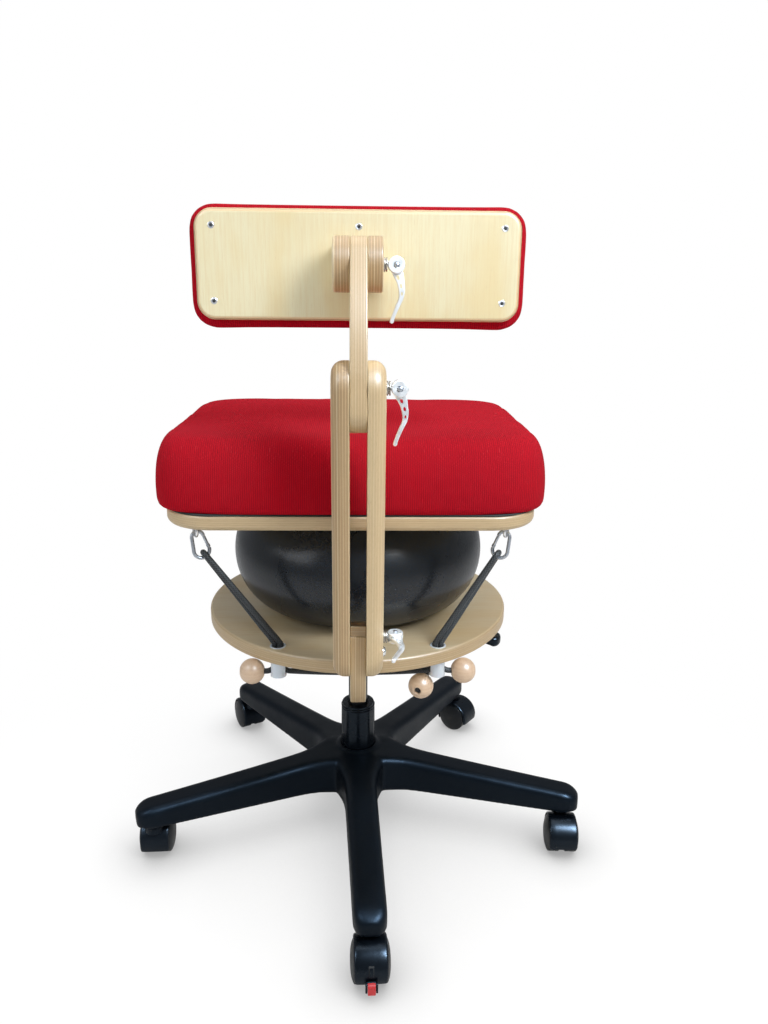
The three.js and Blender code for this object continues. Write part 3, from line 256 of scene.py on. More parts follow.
def scaled(colour, *shares):
    return tuple(v * share for v, share in zip(colour, shares))


def stain(tree, colour, mask, low, high, most, tint):
    """Lays a tint over a colour where the mask runs from low to high, at most by a share."""
    return blend_colours(tree, remap(tree, mask, low, high, 0.0, most), colour, tint)


def noise_of(tree, place, scale, detail=3.0, roughness=0.5, stretch=None):
    """Noise over a place vector, stretched along the axes by a scale vector."""
    if stretch is not None:
        place = node(tree, "ShaderNodeMapping", {"Vector": place, "Scale": stretch}).outputs[0]
    made = node(tree, "ShaderNodeTexNoise", {
        "Vector": place, "Scale": scale, "Detail": detail, "Roughness": roughness})
    return made.outputs["Fac"]


def bump(tree, height, strength, distance):
    return node(tree, "ShaderNodeBump", {
        "Height": height, "Strength": strength, "Distance": distance}).outputs[0]


def material(name, roughness=0.5, metallic=0.0, **sockets):
    """A principled material; returns it with its tree, its shader and object coordinates."""
    made = bpy.data.materials.new(name)
    made.use_nodes = True
    tree = made.node_tree
    shader = tree.nodes["Principled BSDF"]
    shader.inputs["Roughness"].default_value = roughness
    shader.inputs["Metallic"].default_value = metallic
    for key, value in sockets.items():
        shader.inputs[key.replace("_", " ")].default_value = value
    place = node(tree, "ShaderNodeTexCoord").outputs["Object"]
    return made, tree, shader, place


def wire_up(tree, shader, **sockets):
    for key, value in sockets.items():
        tree.links.new(value, shader.inputs[key.replace("_", " ")])


def plywood(name, across, middle, thickness, along, tone_and_shade=0.0, lines=1.0):
    """Birch plywood: across and along are axis numbers, middle and thickness millimetres.

    Its veneers show as stripes wherever a sawn or rounded edge crosses them."""
    made, tree, shader, place = material(name, 0.42, Coat_Weight=0.18, Coat_Roughness=0.28)
    c = colours()
    parts = node(tree, "ShaderNodeSeparateXYZ", {0: place})
    centre = ORIGIN[across] + middle * MM
    depth = maths(tree, "SUBTRACT", parts.outputs[across], centre - thickness * MM / 2)
    share = maths(tree, "DIVIDE", depth, thickness * MM)
    inside = maths(tree, "MINIMUM", maths(tree, "MAXIMUM", share, 0.004), 0.996)
    count = sizes().ply_layers * thickness / PLY
    count = max(3, int(count) // 2 * 2 + 1)
    wander = noise_of(tree, place, 26.0, 2.0)
    sway = times(tree, maths(tree, "SUBTRACT", wander, 0.5), 0.02)
    layer_place = times(tree, maths(tree, "ADD", inside, sway), float(count))
    layer = maths(tree, "FLOOR", layer_place)
    within = maths(tree, "SUBTRACT", layer_place, layer)
    odd = maths(tree, "PINGPONG", layer, 1.0)
    each = node(tree, "ShaderNodeTexWhiteNoise", {"W": layer}, noise_dimensions="1D").outputs["Value"]
    glue_low = remap(tree, within, 0.0, 0.16, 1.0, 0.0)
    glue_high = remap(tree, within, 0.84, 1.0, 0.0, 1.0)
    glue = maths(tree, "MAXIMUM", glue_low, glue_high)
    # the outer veneers' faces carry no stripes
    skin = times(tree, remap(tree, inside, 0.006, 0.03),
                 remap(tree, inside, 0.97, 0.994, 1.0, 0.0))
    stretch = [60.0, 60.0, 60.0]
    stretch[along] = 2.4
    fibre = noise_of(tree, place, 9.0, 6.0, 0.62, stretch)
    fine = noise_of(tree, place, 34.0, 3.0, 0.6, stretch)
    blotch_stretch = [7.0, 7.0, 7.0]
    blotch_stretch[along] = 2.6
    blotch = noise_of(tree, place, 2.2, 3.0, 0.55, blotch_stretch)
    # Above 0 this share darkens the face and its stripes, below 0 it lightens them: partly a board's own
    # tone, partly painted shade, as on the bracket and its cap between the uprights, and painted light, as on
    # the paler right upright.
    light = tuple(min(v * (1 - 0.4 * tone_and_shade), 0.93) for v in c.birch)
    face = stain(tree, light, fibre, 0.34, 0.72, 0.34, scaled(light, 0.86, 0.72, 0.52))
    face = stain(tree, face, blotch, 0.42, 0.7, 0.6, scaled(light, 0.93, 0.8, 0.58))
    face = stain(tree, face, fine, 0.6, 0.78, 0.4, scaled(light, 0.66, 0.5, 0.34))
    pale = tuple(v * share * (1 - 0.4 * tone_and_shade) for v, share in zip(c.birch, (0.92, 0.84, 0.72)))
    stripes = blend_colours(tree, times(tree, odd, 0.5 * lines), pale, c.birch_dark)
    stripes = blend_colours(tree, times(tree, each, 0.45 * lines), stripes,
                            scaled(pale, 0.78, 0.62, 0.45))
    stripes = blend_colours(tree, times(tree, glue, 0.85 * lines), stripes, (0.16, 0.085, 0.04))
    stripes = stain(tree, stripes, fine, 0.5, 0.8, 0.35, (0.3, 0.18, 0.08))
    colour = blend_colours(tree, skin, face, stripes)
    height = maths(tree, "ADD", times(tree, fine, 0.5), times(tree, times(tree, glue, skin), -0.5))
    wire_up(tree, shader, Base_Color=colour, Normal=bump(tree, height, 0.25, 0.0006),
            Roughness=remap(tree, fibre, 0.2, 0.8, 0.36, 0.52))
    return made


def knit(name):
    """The ribbed knit: ribs up the walls from the piece's own map, and front to back over the top."""
    made, tree, shader, place = material(name, 0.9, Specular_IOR_Level=0.06,
                                         Sheen_Weight=0.02, Sheen_Roughness=0.5)
    shader.inputs["Sheen Tint"].default_value = (1.0, 0.2, 0.25, 1)
    red = colours().knit
    chart = node(tree, "ShaderNodeUVMap", uv_map="knit").outputs[0]
    run = node(tree, "ShaderNodeSeparateXYZ", {0: chart})
    wander = times(tree, maths(tree, "SUBTRACT", noise_of(tree, place, 40.0, 2.0), 0.5), 0.5)
    pitch = sizes().rib_pitch
    phase = maths(tree, "ADD", maths(tree, "DIVIDE", run.outputs[0], pitch), wander)
    rib = maths(tree, "ABSOLUTE", maths(tree, "SINE", times(tree, phase, pi)))
    stitch_run = maths(tree, "DIVIDE", run.outputs[1], pitch * 0.62)
    column = maths(tree, "FLOOR", phase)
    offset = times(tree, maths(tree, "PINGPONG", column, 1.0), 0.5)
    stitch = maths(tree, "ABSOLUTE", maths(tree, "SINE", maths(
        tree, "MULTIPLY", maths(tree, "ADD", stitch_run, offset), pi)))
    loop = times(tree, maths(tree, "POWER", rib, 0.6), maths(
        tree, "ADD", times(tree, maths(tree, "POWER", stitch, 0.7), 0.35), 0.65))
    fuzz = noise_of(tree, place, 900.0, 2.0)
    cloud = noise_of(tree, place, 9.0, 3.0)
    # Painted shade: the knit is darker down between its ribs and loops, and keeps its full red on the raised
    # loops.
    colour = blend_colours(tree, remap(tree, loop, 0.12, 0.8), scaled(red, 0.55, 0.6, 1.0), red)
    colour = stain(tree, colour, cloud, 0.35, 0.7, 0.22, scaled(red, 0.8, 0.7, 1.3))
    # Painted highlight: lighter pink dots, here and there, on the crests where a rib and a stitch both rise,
    # as glints of light on the loops.
    spark = times(tree, remap(tree, stitch, 0.93, 1.0), remap(tree, rib, 0.9, 1.0))
    flecks = times(tree, spark, remap(tree, noise_of(tree, place, 120.0, 2.0), 0.45, 0.62))
    colour = blend_colours(tree, times(tree, flecks, 0.3), colour, (0.85, 0.12, 0.14))
    height = maths(tree, "ADD", loop, times(tree, fuzz, 0.18))
    wire_up(tree, shader, Base_Color=colour, Normal=bump(tree, height, 0.4, 0.0008))
    return made


def moulded(name, colour, roughness, grain=520.0, depth=0.00018, **sockets):
    """Moulded plastic with a fine spark-eroded texture."""
    made, tree, shader, place = material(name, roughness, **sockets)
    shader.inputs["Base Color"].default_value = (*colour, 1)
    pits = noise_of(tree, place, grain, 2.0, 0.6)
    wear = noise_of(tree, place, 14.0, 4.0, 0.6)
    wire_up(tree, shader, Normal=bump(tree, pits, 0.4, depth),
            Roughness=remap(tree, wear, 0.3, 0.75, roughness - 0.06, roughness + 0.1))
    return made


def metal(name, colour, roughness, along=2):
    """Plated steel, lightly drawn along one axis."""
    made, tree, shader, place = material(name, roughness, 1.0)
    stretch = [300.0, 300.0, 300.0]
    stretch[along] = 12.0
    drawn = noise_of(tree, place, 3.0, 3.0, 0.6, stretch)
    smudge = noise_of(tree, place, 60.0, 3.0, 0.6)
    tint = stain(tree, colour, smudge, 0.4, 0.7, 0.4, scaled(colour, 0.72, 0.72, 0.72))
    wire_up(tree, shader, Base_Color=tint, Normal=bump(tree, drawn, 0.12, 0.0002),
            Roughness=remap(tree, smudge, 0.3, 0.7, max(roughness - 0.08, 0.04), roughness + 0.1))
    return made


def vinyl(name):
    """The ball's satin skin: dark, with a fine metallic fleck and a leathery grain."""
    made, tree, shader, place = material(name, 0.36, 0.0, Specular_IOR_Level=0.45)
    base = colours().vinyl
    fleck = node(tree, "ShaderNodeTexVoronoi", {"Vector": place, "Scale": 620.0}).outputs["Color"]
    spark = node(tree, "ShaderNodeSeparateColor", {0: fleck}).outputs[0]
    cloud = noise_of(tree, place, 7.0, 4.0)
    colour = stain(tree, base, spark, 0.6, 1.0, 0.6, scaled(base, 3.0, 3.4, 3.9))
    colour = stain(tree, colour, cloud, 0.4, 0.7, 0.3, scaled(base, 0.6, 0.6, 0.6))
    grain = node(tree, "ShaderNodeTexVoronoi", {"Vector": place, "Scale": 380.0},
                 feature="SMOOTH_F1").outputs["Distance"]
    wire_up(tree, shader, Base_Color=colour, Normal=bump(tree, grain, 0.16, 0.0004),
            Metallic=remap(tree, spark, 0.7, 1.0, 0.0, 0.35),
            Roughness=remap(tree, cloud, 0.3, 0.7, 0.23, 0.3))
    return made


def braid(name):
    """The elastic cord's woven sleeve, from the turn and length kept on the strand."""
    made, tree, shader, place = material(name, 0.62, Sheen_Weight=0.2, Sheen_Roughness=0.4)
    lay = node(tree, "ShaderNodeAttribute", attribute_name="lay").outputs["Vector"]
    parts = node(tree, "ShaderNodeSeparateXYZ", {0: lay})
    turn = maths(tree, "ARCTAN2", parts.outputs[1], parts.outputs[0])
    length = times(tree, parts.outputs[2], tau / sizes().braid_pitch)
    strands = times(tree, turn, 6.0)
    one = maths(tree, "SINE", maths(tree, "ADD", strands, length))
    two = maths(tree, "SINE", maths(tree, "SUBTRACT", strands, length))
    over = maths(tree, "MAXIMUM", one, two)
    fuzz = noise_of(tree, place, 700.0, 2.0)
    # Painted shade and painted highlight: the braid is near black down between its strands and dark grey on
    # their raised crowns.
    colour = stain(tree, (0.004, 0.005, 0.006), over, 0.2, 1.0, 1.0, (0.04, 0.046, 0.052))
    colour = stain(tree, colour, fuzz, 0.55, 0.8, 0.5, (0.06, 0.068, 0.075))
    wire_up(tree, shader, Base_Color=colour, Normal=bump(tree, over, 0.5, 0.0005))
    return made


def turned_wood(name):
    """Beech with its rings across the ball and short dark flecks."""
    made, tree, shader, place = material(name, 0.42, Coat_Weight=0.15, Coat_Roughness=0.3)
    c = colours().beech
    rings = node(tree, "ShaderNodeTexWave", {
        "Vector": place, "Scale": 70.0, "Distortion": 3.0, "Detail": 2.0, "Detail Scale": 1.2,
    }, wave_type="BANDS", bands_direction="Z").outputs["Fac"]
    flecks = noise_of(tree, place, 60.0, 3.0, 0.6, (12.0, 3.0, 12.0))
    cloud = noise_of(tree, place, 30.0, 3.0)
    colour = blend_colours(tree, times(tree, rings, 0.25), c, scaled(c, 0.84, 0.72, 0.6))
    colour = stain(tree, colour, flecks, 0.58, 0.72, 0.4, scaled(c, 0.6, 0.45, 0.32))
    colour = stain(tree, colour, cloud, 0.4, 0.7, 0.25, (min(c[0] * 1.12, 1), c[1] * 1.12, c[2] * 1.15))
    wire_up(tree, shader, Base_Color=colour, Normal=bump(tree, flecks, 0.12, 0.0004))
    return made


@functools.cache
def finish(name):
    """Each finish is made once, when a piece first asks for it."""
    c = colours()
    makers = {
        "knit": lambda: knit("red_knit"),
        "nylon": lambda: moulded("black_nylon", c.nylon, 0.4, 420.0, 0.0003, Specular_IOR_Level=0.2,
                                  Specular_Tint=(0.5, 0.72, 1.0, 1)),
        "nylon_gloss": lambda: moulded("black_nylon_gloss", c.nylon, 0.28, 300.0, 0.00008,
                                        Specular_IOR_Level=0.32, Specular_Tint=(0.6, 0.78, 1.0, 1)),
        "wheel": lambda: moulded("wheel_black", (0.005, 0.007, 0.01), 0.34, 300.0, 0.0001,
                                  Specular_IOR_Level=0.35),
        "black_steel": lambda: moulded("black_powder_coat", (0.012, 0.0135, 0.016), 0.3, 700.0, 0.0001),
        "hook_steel": lambda: metal("hook_steel", (0.5, 0.53, 0.58), 0.3),
        "steel": lambda: metal("polished_steel", (0.9, 0.9, 0.91), 0.24),
        "satin": lambda: metal("satin_steel", (0.62, 0.62, 0.63), 0.34, 1),
        "dark_steel": lambda: metal("dark_steel", (0.42, 0.39, 0.35), 0.26),
        "lever_steel": lambda: metal("lever_steel", (0.98, 0.98, 0.98), 0.42),
        "vinyl": lambda: vinyl("ball_vinyl"),
        "braid": lambda: braid("elastic_braid"),
        "beech": lambda: turned_wood("beech"),
        "white_tube": lambda: moulded("white_tube", (0.76, 0.82, 0.9), 0.34, 200.0, 0.00005,
                                      Subsurface_Weight=0.05),
        "pedal": lambda: moulded("red_pedal", c.pedal, 0.4, 500.0, 0.0001),
        # Painted shade: a near-black finish laid on holes, slots and sockets that are not cut, for the shade
        # inside them.
        "hole": lambda: moulded("painted_recess_shade", (0.008, 0.007, 0.006), 0.8),
        "underlay": lambda: moulded("dark_underlay", (0.012, 0.016, 0.013), 0.85, 900.0, 0.0003),
        "wheel_dust": lambda: moulded("axle_steel", (0.3, 0.3, 0.31), 0.35, Metallic=1.0),
    }
    return makers[name]()


# ---- meshes ----

def read(items, key, width=3, kind=float):
    """One value or row of values for each vertex, corner or face of a mesh."""
    values = np.empty(len(items) * width, kind)
    items.foreach_get(key, values)
    return values.reshape(-1, width) if width > 1 else values


def modify(piece, name, kind, **settings):
    return configure(piece.modifiers.new(name, kind), **settings)


def new_mesh(name, corners, faces=()):
    mesh = bpy.data.meshes.new(name)
    mesh.from_pydata([tuple(c) for c in corners], [], faces)
    mesh.update()
    return mesh


def close_form(form, name, outward=True):
    """Ends an open form as a new mesh, its faces turned outward."""
    if outward:
        bmesh.ops.recalc_face_normals(form, faces=form.faces)
    mesh = bpy.data.meshes.new(name)
    form.to_mesh(mesh)
    form.free()
    return mesh


def evaluated_mesh(piece, graph=None):
    """A new mesh of a piece as its modifiers leave it."""
    graph = graph or bpy.context.evaluated_depsgraph_get()
    return bpy.data.meshes.new_from_object(piece.evaluated_get(graph), depsgraph=graph)


def dress(mesh, look):
    """Leaves a mesh with one finish, given by its name or as a material."""
    mesh.materials.clear()
    mesh.materials.append(finish(look) if isinstance(look, str) else look)


def link(name, mesh, look=None, crease=32.0):
    """An object round a finished mesh, smooth but for edges sharper than crease degrees."""
    piece = add_object(name, mesh)
    mesh.name = name
    if look is not None:
        dress(mesh, look)
    mesh.shade_smooth()
    mesh.set_sharp_from_angle(angle=radians(crease))
    return piece


def solid(name, corners, faces, look, crease=32.0, level=True):
    mesh = new_mesh(name, corners, faces)
    form = bmesh.new()
    form.from_mesh(mesh)
    bpy.data.meshes.remove(mesh)
    piece = link(name, close_form(form, name), look, crease)
    if level:
        weigh(piece)
    return piece


def weigh(piece):
    """Keeps big flat faces flat beside their rounded edges."""
    modify(piece, "even_shading", "WEIGHTED_NORMAL", keep_sharp=True, weight=60)


def skin_rings(rings, loop=False):
    """Faces round and along a row of equal rings; the two ends close, or the row joins up."""
    count = len(rings[0])
    corners = [corner for ring in rings for corner in ring]
    faces = []
    total = len(rings)
    for j in range(total if loop else total - 1):
        low, high = j * count, (j + 1) % total * count
        for i in range(count):
            k = (i + 1) % count
            faces.append((low + i, low + k, high + k, high + i))
    if not loop:
        faces.append(tuple(range(count))[::-1])
        faces.append(tuple(range((total - 1) * count, total * count)))
    return corners, faces


def eased(points, radius, steps=4, closed=False):
    """The same outline with each corner rounded, as far as its sides allow."""
    points = [Vector(p) for p in points]
    rounded = []
    last = len(points) - 1
    for i, corner in enumerate(points):
        if not closed and i in (0, last):
            rounded.append(corner)
            continue
        before, after = points[i - 1], points[(i + 1) % len(points)]
        inward, onward = before - corner, after - corner
        if inward.length < 1e-9 or onward.length < 1e-9:
            rounded.append(corner)
            continue
        angle = inward.angle(onward)
        if angle > radians(172):
            rounded.append(corner)
            continue
        cut = min(radius / math.tan(angle / 2), inward.length * 0.48, onward.length * 0.48)
        start = corner + inward.normalized() * cut
        end = corner + onward.normalized() * cut
        for s in range(steps + 1):
            t = s / steps
            rounded.append(start * (1 - t) ** 2 + corner * (2 * t * (1 - t)) + end * t ** 2)
    return rounded


def basis(axis):
    """Two directions square to an axis, in a right-handed set."""
    axis = Vector(axis).normalized()
    helper = Z if abs(axis.z) < 0.9 else X
    first = helper.cross(axis).normalized()
    return first, axis.cross(first), axis


def lathe(name, profile, centre, axis, look, segments=64, closed=False, round_by=0.0, crease=32.0,
          flats=0, flat_depth=0.0):
    """A piece turned about an axis from [radius, height] millimetres, its corners eased."""
    points = [Vector((r, h)) for r, h in profile]
    if round_by:
        points = eased(points, round_by, 3, closed)
    u, v, w = basis(axis)
    rings = []
    for p in points:
        ring = []
        for s in range(segments):
            angle = tau * s / segments
            radius = max(p.x, 0.004)
            if flats:
                facet = tau / flats
                off = (angle % facet) - facet / 2
                radius = min(radius, (p.x - flat_depth) / cos(off))
            ring.append(centre + (u * cos(angle) * radius + v * sin(angle) * radius
                                  + w * p.y) * MM)
        rings.append(ring)
    corners, faces = skin_rings(rings, closed)
    return solid(name, corners, faces, look, crease)


def inset(outline, distance):
    """The outline drawn in by a distance along its corners' normals."""
    if not distance:
        return [Vector(p) for p in outline]
    points = [Vector(p) for p in outline]
    area = sum(points[i - 1].x * p.y - p.x * points[i - 1].y for i, p in enumerate(points))
    turn = 1 if area > 0 else -1
    drawn = []
    for i, p in enumerate(points):
        before = (p - points[i - 1]).normalized()
        after = (points[(i + 1) % len(points)] - p).normalized()
        normal = Vector((-(before.y + after.y), before.x + after.x)) * turn
        size = normal.length
        if size < 1e-6:
            drawn.append(p)
            continue
        drawn.append(p + normal / size * min(2.0 * distance / size, distance * 2.2))
    return drawn


def rounded_edge(thickness, low_radius, high_radius, steps=5):
    """Levels of a board's edge: how far it is drawn in at each height through its thickness."""
    levels = []
    for s in range(steps + 1 if low_radius else 1):
        a = pi / 2 * s / steps if low_radius else pi / 2
        levels.append((low_radius * (1 - sin(a)), low_radius * (1 - cos(a))))
    for s in range(steps + 1 if high_radius else 1):
        a = pi / 2 * s / steps if high_radius else 0.0
        levels.append((high_radius * (1 - cos(a)), thickness - high_radius * (1 - sin(a))))
    return levels


def board(name, outline, levels, place, look, holes=(), pockets=()):
    """A flat board: an outline, the levels of its edge, and place(u, v, w) that stands it up.

    Holes go right through; a pocket is an outline sunk from the far face by a depth."""
    form = bmesh.new()

    def ring_of(points, w):
        return [form.verts.new(place(p.x, p.y, w)) for p in points]

    def wall(first, second):
        count = len(first)
        for i in range(count):
            form.faces.new((first[i], first[(i + 1) % count], second[(i + 1) % count], second[i]))

    rings = [ring_of(inset(outline, d), w) for d, w in levels]
    for low, high in zip(rings, rings[1:]):
        wall(low, high)
    ends = ([rings[0]], [rings[-1]])
    for hole in holes:
        points = [Vector(p) for p in hole]
        low, high = ring_of(points, levels[0][1]), ring_of(points, levels[-1][1])
        wall(low, high)
        ends[0].append(low)
        ends[1].append(high)
    for rim, depth in pockets:
        points = [Vector(p) for p in rim]
        high, low = ring_of(points, levels[-1][1]), ring_of(points, levels[-1][1] - depth)
        wall(low, high)
        form.faces.new(low)
        ends[1].append(high)
    for loops in ends:
        if len(loops) > 1:
            edges = [form.edges.get((ring[i - 1], ring[i])) for ring in loops for i in range(len(ring))]
            bmesh.ops.triangle_fill(form, edges=edges, use_beauty=True)
        else:
            form.faces.new(loops[0])
    piece = link(name, close_form(form, name), look)
    weigh(piece)
    return piece


def arc(centre, radius, start, end, steps):
    """Points on an arc, angles in degrees."""
    return [Vector((centre[0] + radius * cos(radians(start + (end - start) * s / steps)),
                    centre[1] + radius * sin(radians(start + (end - start) * s / steps))))
            for s in range(steps + 1)]


def circle(centre, radius, steps=28):
    return arc(centre, radius, 0, 360, steps)[:-1]


def rounded_rectangle(half_x, half_y, corner, middle=(0, 0), steps=10):
    outline = []
    for k, (sx, sy) in enumerate(((1, -1), (1, 1), (-1, 1), (-1, -1))):
        centre = (middle[0] + sx * (half_x - corner), middle[1] + sy * (half_y - corner))
        outline += arc(centre, corner, (k - 1) * 90, k * 90, steps)
    return outline


def flat(low):
    """Stands a board level: u is X, v is Y and w rises from low."""
    return lambda u, v, w: at(u, v, low + w)


def upright_plane(low, side=1):
    """Stands a board on edge: u is Y, v is Z and w runs along X from low."""
    return lambda u, v, w: at(side * (low + w), u, v)


def smooth_path(points, per_span=6):
    """Points along one smooth curve through the given ones."""
    pts = [Vector(p) for p in points]
    pts = [pts[0] * 2 - pts[1]] + pts + [pts[-1] * 2 - pts[-2]]
    path = []
    for i in range(1, len(pts) - 2):
        p0, p1, p2, p3 = pts[i - 1:i + 3]
        spans = [max((b - a).length ** 0.5, 1e-6) for a, b in ((p0, p1), (p1, p2), (p2, p3))]
        t0, t1 = 0.0, spans[0]
        t2, t3 = t1 + spans[1], t1 + spans[1] + spans[2]
        for s in range(per_span):
            t = t1 + (t2 - t1) * s / per_span
            a1 = p0 * ((t1 - t) / (t1 - t0)) + p1 * ((t - t0) / (t1 - t0))
            a2 = p1 * ((t2 - t) / (t2 - t1)) + p2 * ((t - t1) / (t2 - t1))
            a3 = p2 * ((t3 - t) / (t3 - t2)) + p3 * ((t - t2) / (t3 - t2))
            b1 = a1 * ((t2 - t) / (t2 - t0)) + a2 * ((t - t0) / (t2 - t0))
            b2 = a2 * ((t3 - t) / (t3 - t1)) + a3 * ((t - t1) / (t3 - t1))
            path.append(b1 * ((t2 - t) / (t2 - t1)) + b2 * ((t - t1) / (t2 - t1)))
    path.append(pts[-2])
    return path


# ---- geometry node trees ----

def socket_of(tree, name):
    return next(item.identifier for item in tree.interface.items_tree if item.name == name)


def new_tree(name, inputs):
    tree = bpy.data.node_groups.new(name, "GeometryNodeTree")
    tree.interface.new_socket("Source", in_out="INPUT", socket_type="NodeSocketGeometry")
    for title, kind in inputs:
        tree.interface.new_socket(title, in_out="INPUT", socket_type="NodeSocket" + kind)
    tree.interface.new_socket("Result", in_out="OUTPUT", socket_type="NodeSocketGeometry")
    source = tree.nodes.new("NodeGroupInput")
    return tree, source


def end_tree(tree, geometry, source):
    """Realizes the instances, gives them their finish and ends the tree."""
    real = node(tree, "GeometryNodeRealizeInstances", {0: geometry}).outputs[0]
    dressed = node(tree, "GeometryNodeSetMaterial", {
        "Geometry": real, "Material": source.outputs["Finish"]}).outputs[0]
    node(tree, "NodeGroupOutput", {0: dressed})
    return tree


def capture(tree, geometry, kind, title, value):
    """Keeps a value on a geometry; returns the geometry and the kept value."""
    held = tree.nodes.new("GeometryNodeCaptureAttribute")
    held.capture_items.new(kind, title)
    tree.links.new(geometry, held.inputs[0])
    tree.links.new(value, held.inputs[title])
    return held.outputs[0], held.outputs[title]


@functools.cache
def strand_tree():
    """Draws a round strand along its path and keeps its turn and length as an attribute."""
    tree, source = new_tree("round_strand", (
        ("Radius", "Float"), ("Sides", "Int"), ("Finish", "Material")))
    length = node(tree, "GeometryNodeSplineParameter").outputs["Length"]
    path, run = capture(tree, source.outputs["Source"], "FLOAT", "Length", length)
    ring = node(tree, "GeometryNodeCurvePrimitiveCircle", {
        "Resolution": source.outputs["Sides"], "Radius": source.outputs["Radius"]}, mode="RADIUS")
    share = node(tree, "GeometryNodeSplineParameter").outputs["Factor"]
    turn = times(tree, share, tau)
    pair = node(tree, "ShaderNodeCombineXYZ", {
        0: maths(tree, "COSINE", turn), 1: maths(tree, "SINE", turn)}).outputs[0]
    profile, around = capture(tree, ring.outputs[0], "VECTOR", "Turn", pair)
    tube = node(tree, "GeometryNodeCurveToMesh", {
        "Curve": path, "Profile Curve": profile, "Fill Caps": True}).outputs[0]
    lay = node(tree, "ShaderNodeVectorMath", {
        0: around, 1: node(tree, "ShaderNodeCombineXYZ", {2: run}).outputs[0]}, operation="ADD").outputs[0]
    stored = node(tree, "GeometryNodeStoreNamedAttribute", {"Geometry": tube, "Name": "lay", "Value": lay},
                  data_type="FLOAT_VECTOR", domain="POINT")
    return end_tree(tree, stored.outputs[0], source)


@functools.cache
def spread_tree():
    """Sets one copy of a unit on every point of its source, turned by each point's own vector."""
    tree, source = new_tree("spread_units", (("Unit", "Object"), ("Finish", "Material")))
    unit = node(tree, "GeometryNodeObjectInfo", {"Object": source.outputs["Unit"]}).outputs["Geometry"]
    turn = node(tree, "GeometryNodeInputNamedAttribute", {"Name": "turn"}, data_type="FLOAT_VECTOR")
    points = node(tree, "GeometryNodeMeshToPoints", {"Mesh": source.outputs["Source"]}).outputs[0]
    spread = node(tree, "GeometryNodeInstanceOnPoints", {"Points": points, "Instance": unit})
    rotation = node(tree, "FunctionNodeEulerToRotation", {0: turn.outputs[0]}).outputs[0]
    tree.links.new(rotation, spread.inputs["Rotation"])
    return end_tree(tree, spread.outputs[0], source)


def run_tree(holder, tree, name, look, crease=32.0, **inputs):
    """Runs a tree on its holder and returns its result as a plain piece."""
    modifier = holder.modifiers.new("shape", "NODES")
    modifier.node_group = tree
    for title, value in inputs.items():
        modifier[socket_of(tree, title)] = value
    modifier[socket_of(tree, "Finish")] = finish(look) if isinstance(look, str) else look
    bpy.context.view_layer.update()
    mesh = evaluated_mesh(holder)
    bpy.data.objects.remove(holder)
    return link(name, mesh, None, crease)


def strand(name, paths, radius, look, sides=18):
    """A piece of one or more round strands, each along a list of places in the frame."""
    line = configure(bpy.data.curves.new(name + "_path", "CURVE"), dimensions="3D", twist_mode="MINIMUM")
    for path in paths:
        closed = (Vector(path[0]) - Vector(path[-1])).length < 1e-7
        points = path[:-1] if closed else path
        spline = line.splines.new("POLY")
        spline.points.add(len(points) - 1)
        spline.points.foreach_set("co", [c for p in points for c in (*p, 1.0)])
        spline.use_cyclic_u = closed
    holder = add_object(name + "_path", line)
    return run_tree(holder, strand_tree(), name, look, 50.0, Radius=radius * MM, Sides=sides)


def spread(name, unit, places, turns, look):
    """Copies of a unit mesh at places, each turned by its own angles, as one piece."""
    mesh = new_mesh(name + "_places", places)
    turn = mesh.attributes.new("turn", "FLOAT_VECTOR", "POINT")
    turn.data.foreach_set("vector", [c for t in turns for c in t])
    holder = add_object(name + "_places", mesh)
    piece = run_tree(holder, spread_tree(), name, look, Unit=unit)
    bpy.data.objects.remove(unit)
    return piece


def merge(name, pieces, look=None):
    """Joins pieces into one mesh; each keeps its own finish unless one is given."""
    graph = bpy.context.evaluated_depsgraph_get()
    form = bmesh.new()
    looks = []
    for piece in pieces:
        mesh = evaluated_mesh(piece, graph)
        for polygon in mesh.polygons:
            polygon.material_index = 0
        own = mesh.materials[0]
        if own not in looks:
            looks.append(own)
        start = len(form.faces)
        form.from_mesh(mesh)
        form.faces.ensure_lookup_table()
        for face in form.faces[start:]:
            face.material_index = looks.index(own)
        bpy.data.meshes.remove(mesh)
        bpy.data.objects.remove(piece)
    mesh = close_form(form, name, outward=False)
    joined = link(name, mesh)
    for own in looks:
        mesh.materials.append(own)
    if look is not None:
        dress(mesh, look)
    weigh(joined)
    return joined


def bake_modifiers(piece):
    """Turns a piece's live modifiers into plain mesh."""
    bpy.context.view_layer.update()
    mesh = evaluated_mesh(piece)
    old = piece.data
    piece.modifiers.clear()
    piece.data = mesh
    bpy.data.meshes.remove(old)
    return piece


def settle(piece, body, slot, *nodes):
    """The piece moves with its body, takes its finish's slot and stands for its CAD nodes."""
    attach(piece, body)
    if nodes:
        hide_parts(*nodes)
    return piece


# ---- star base and column ----

def leg_angle(k):
    return LEG_TURN + k * tau / LEG_COUNT


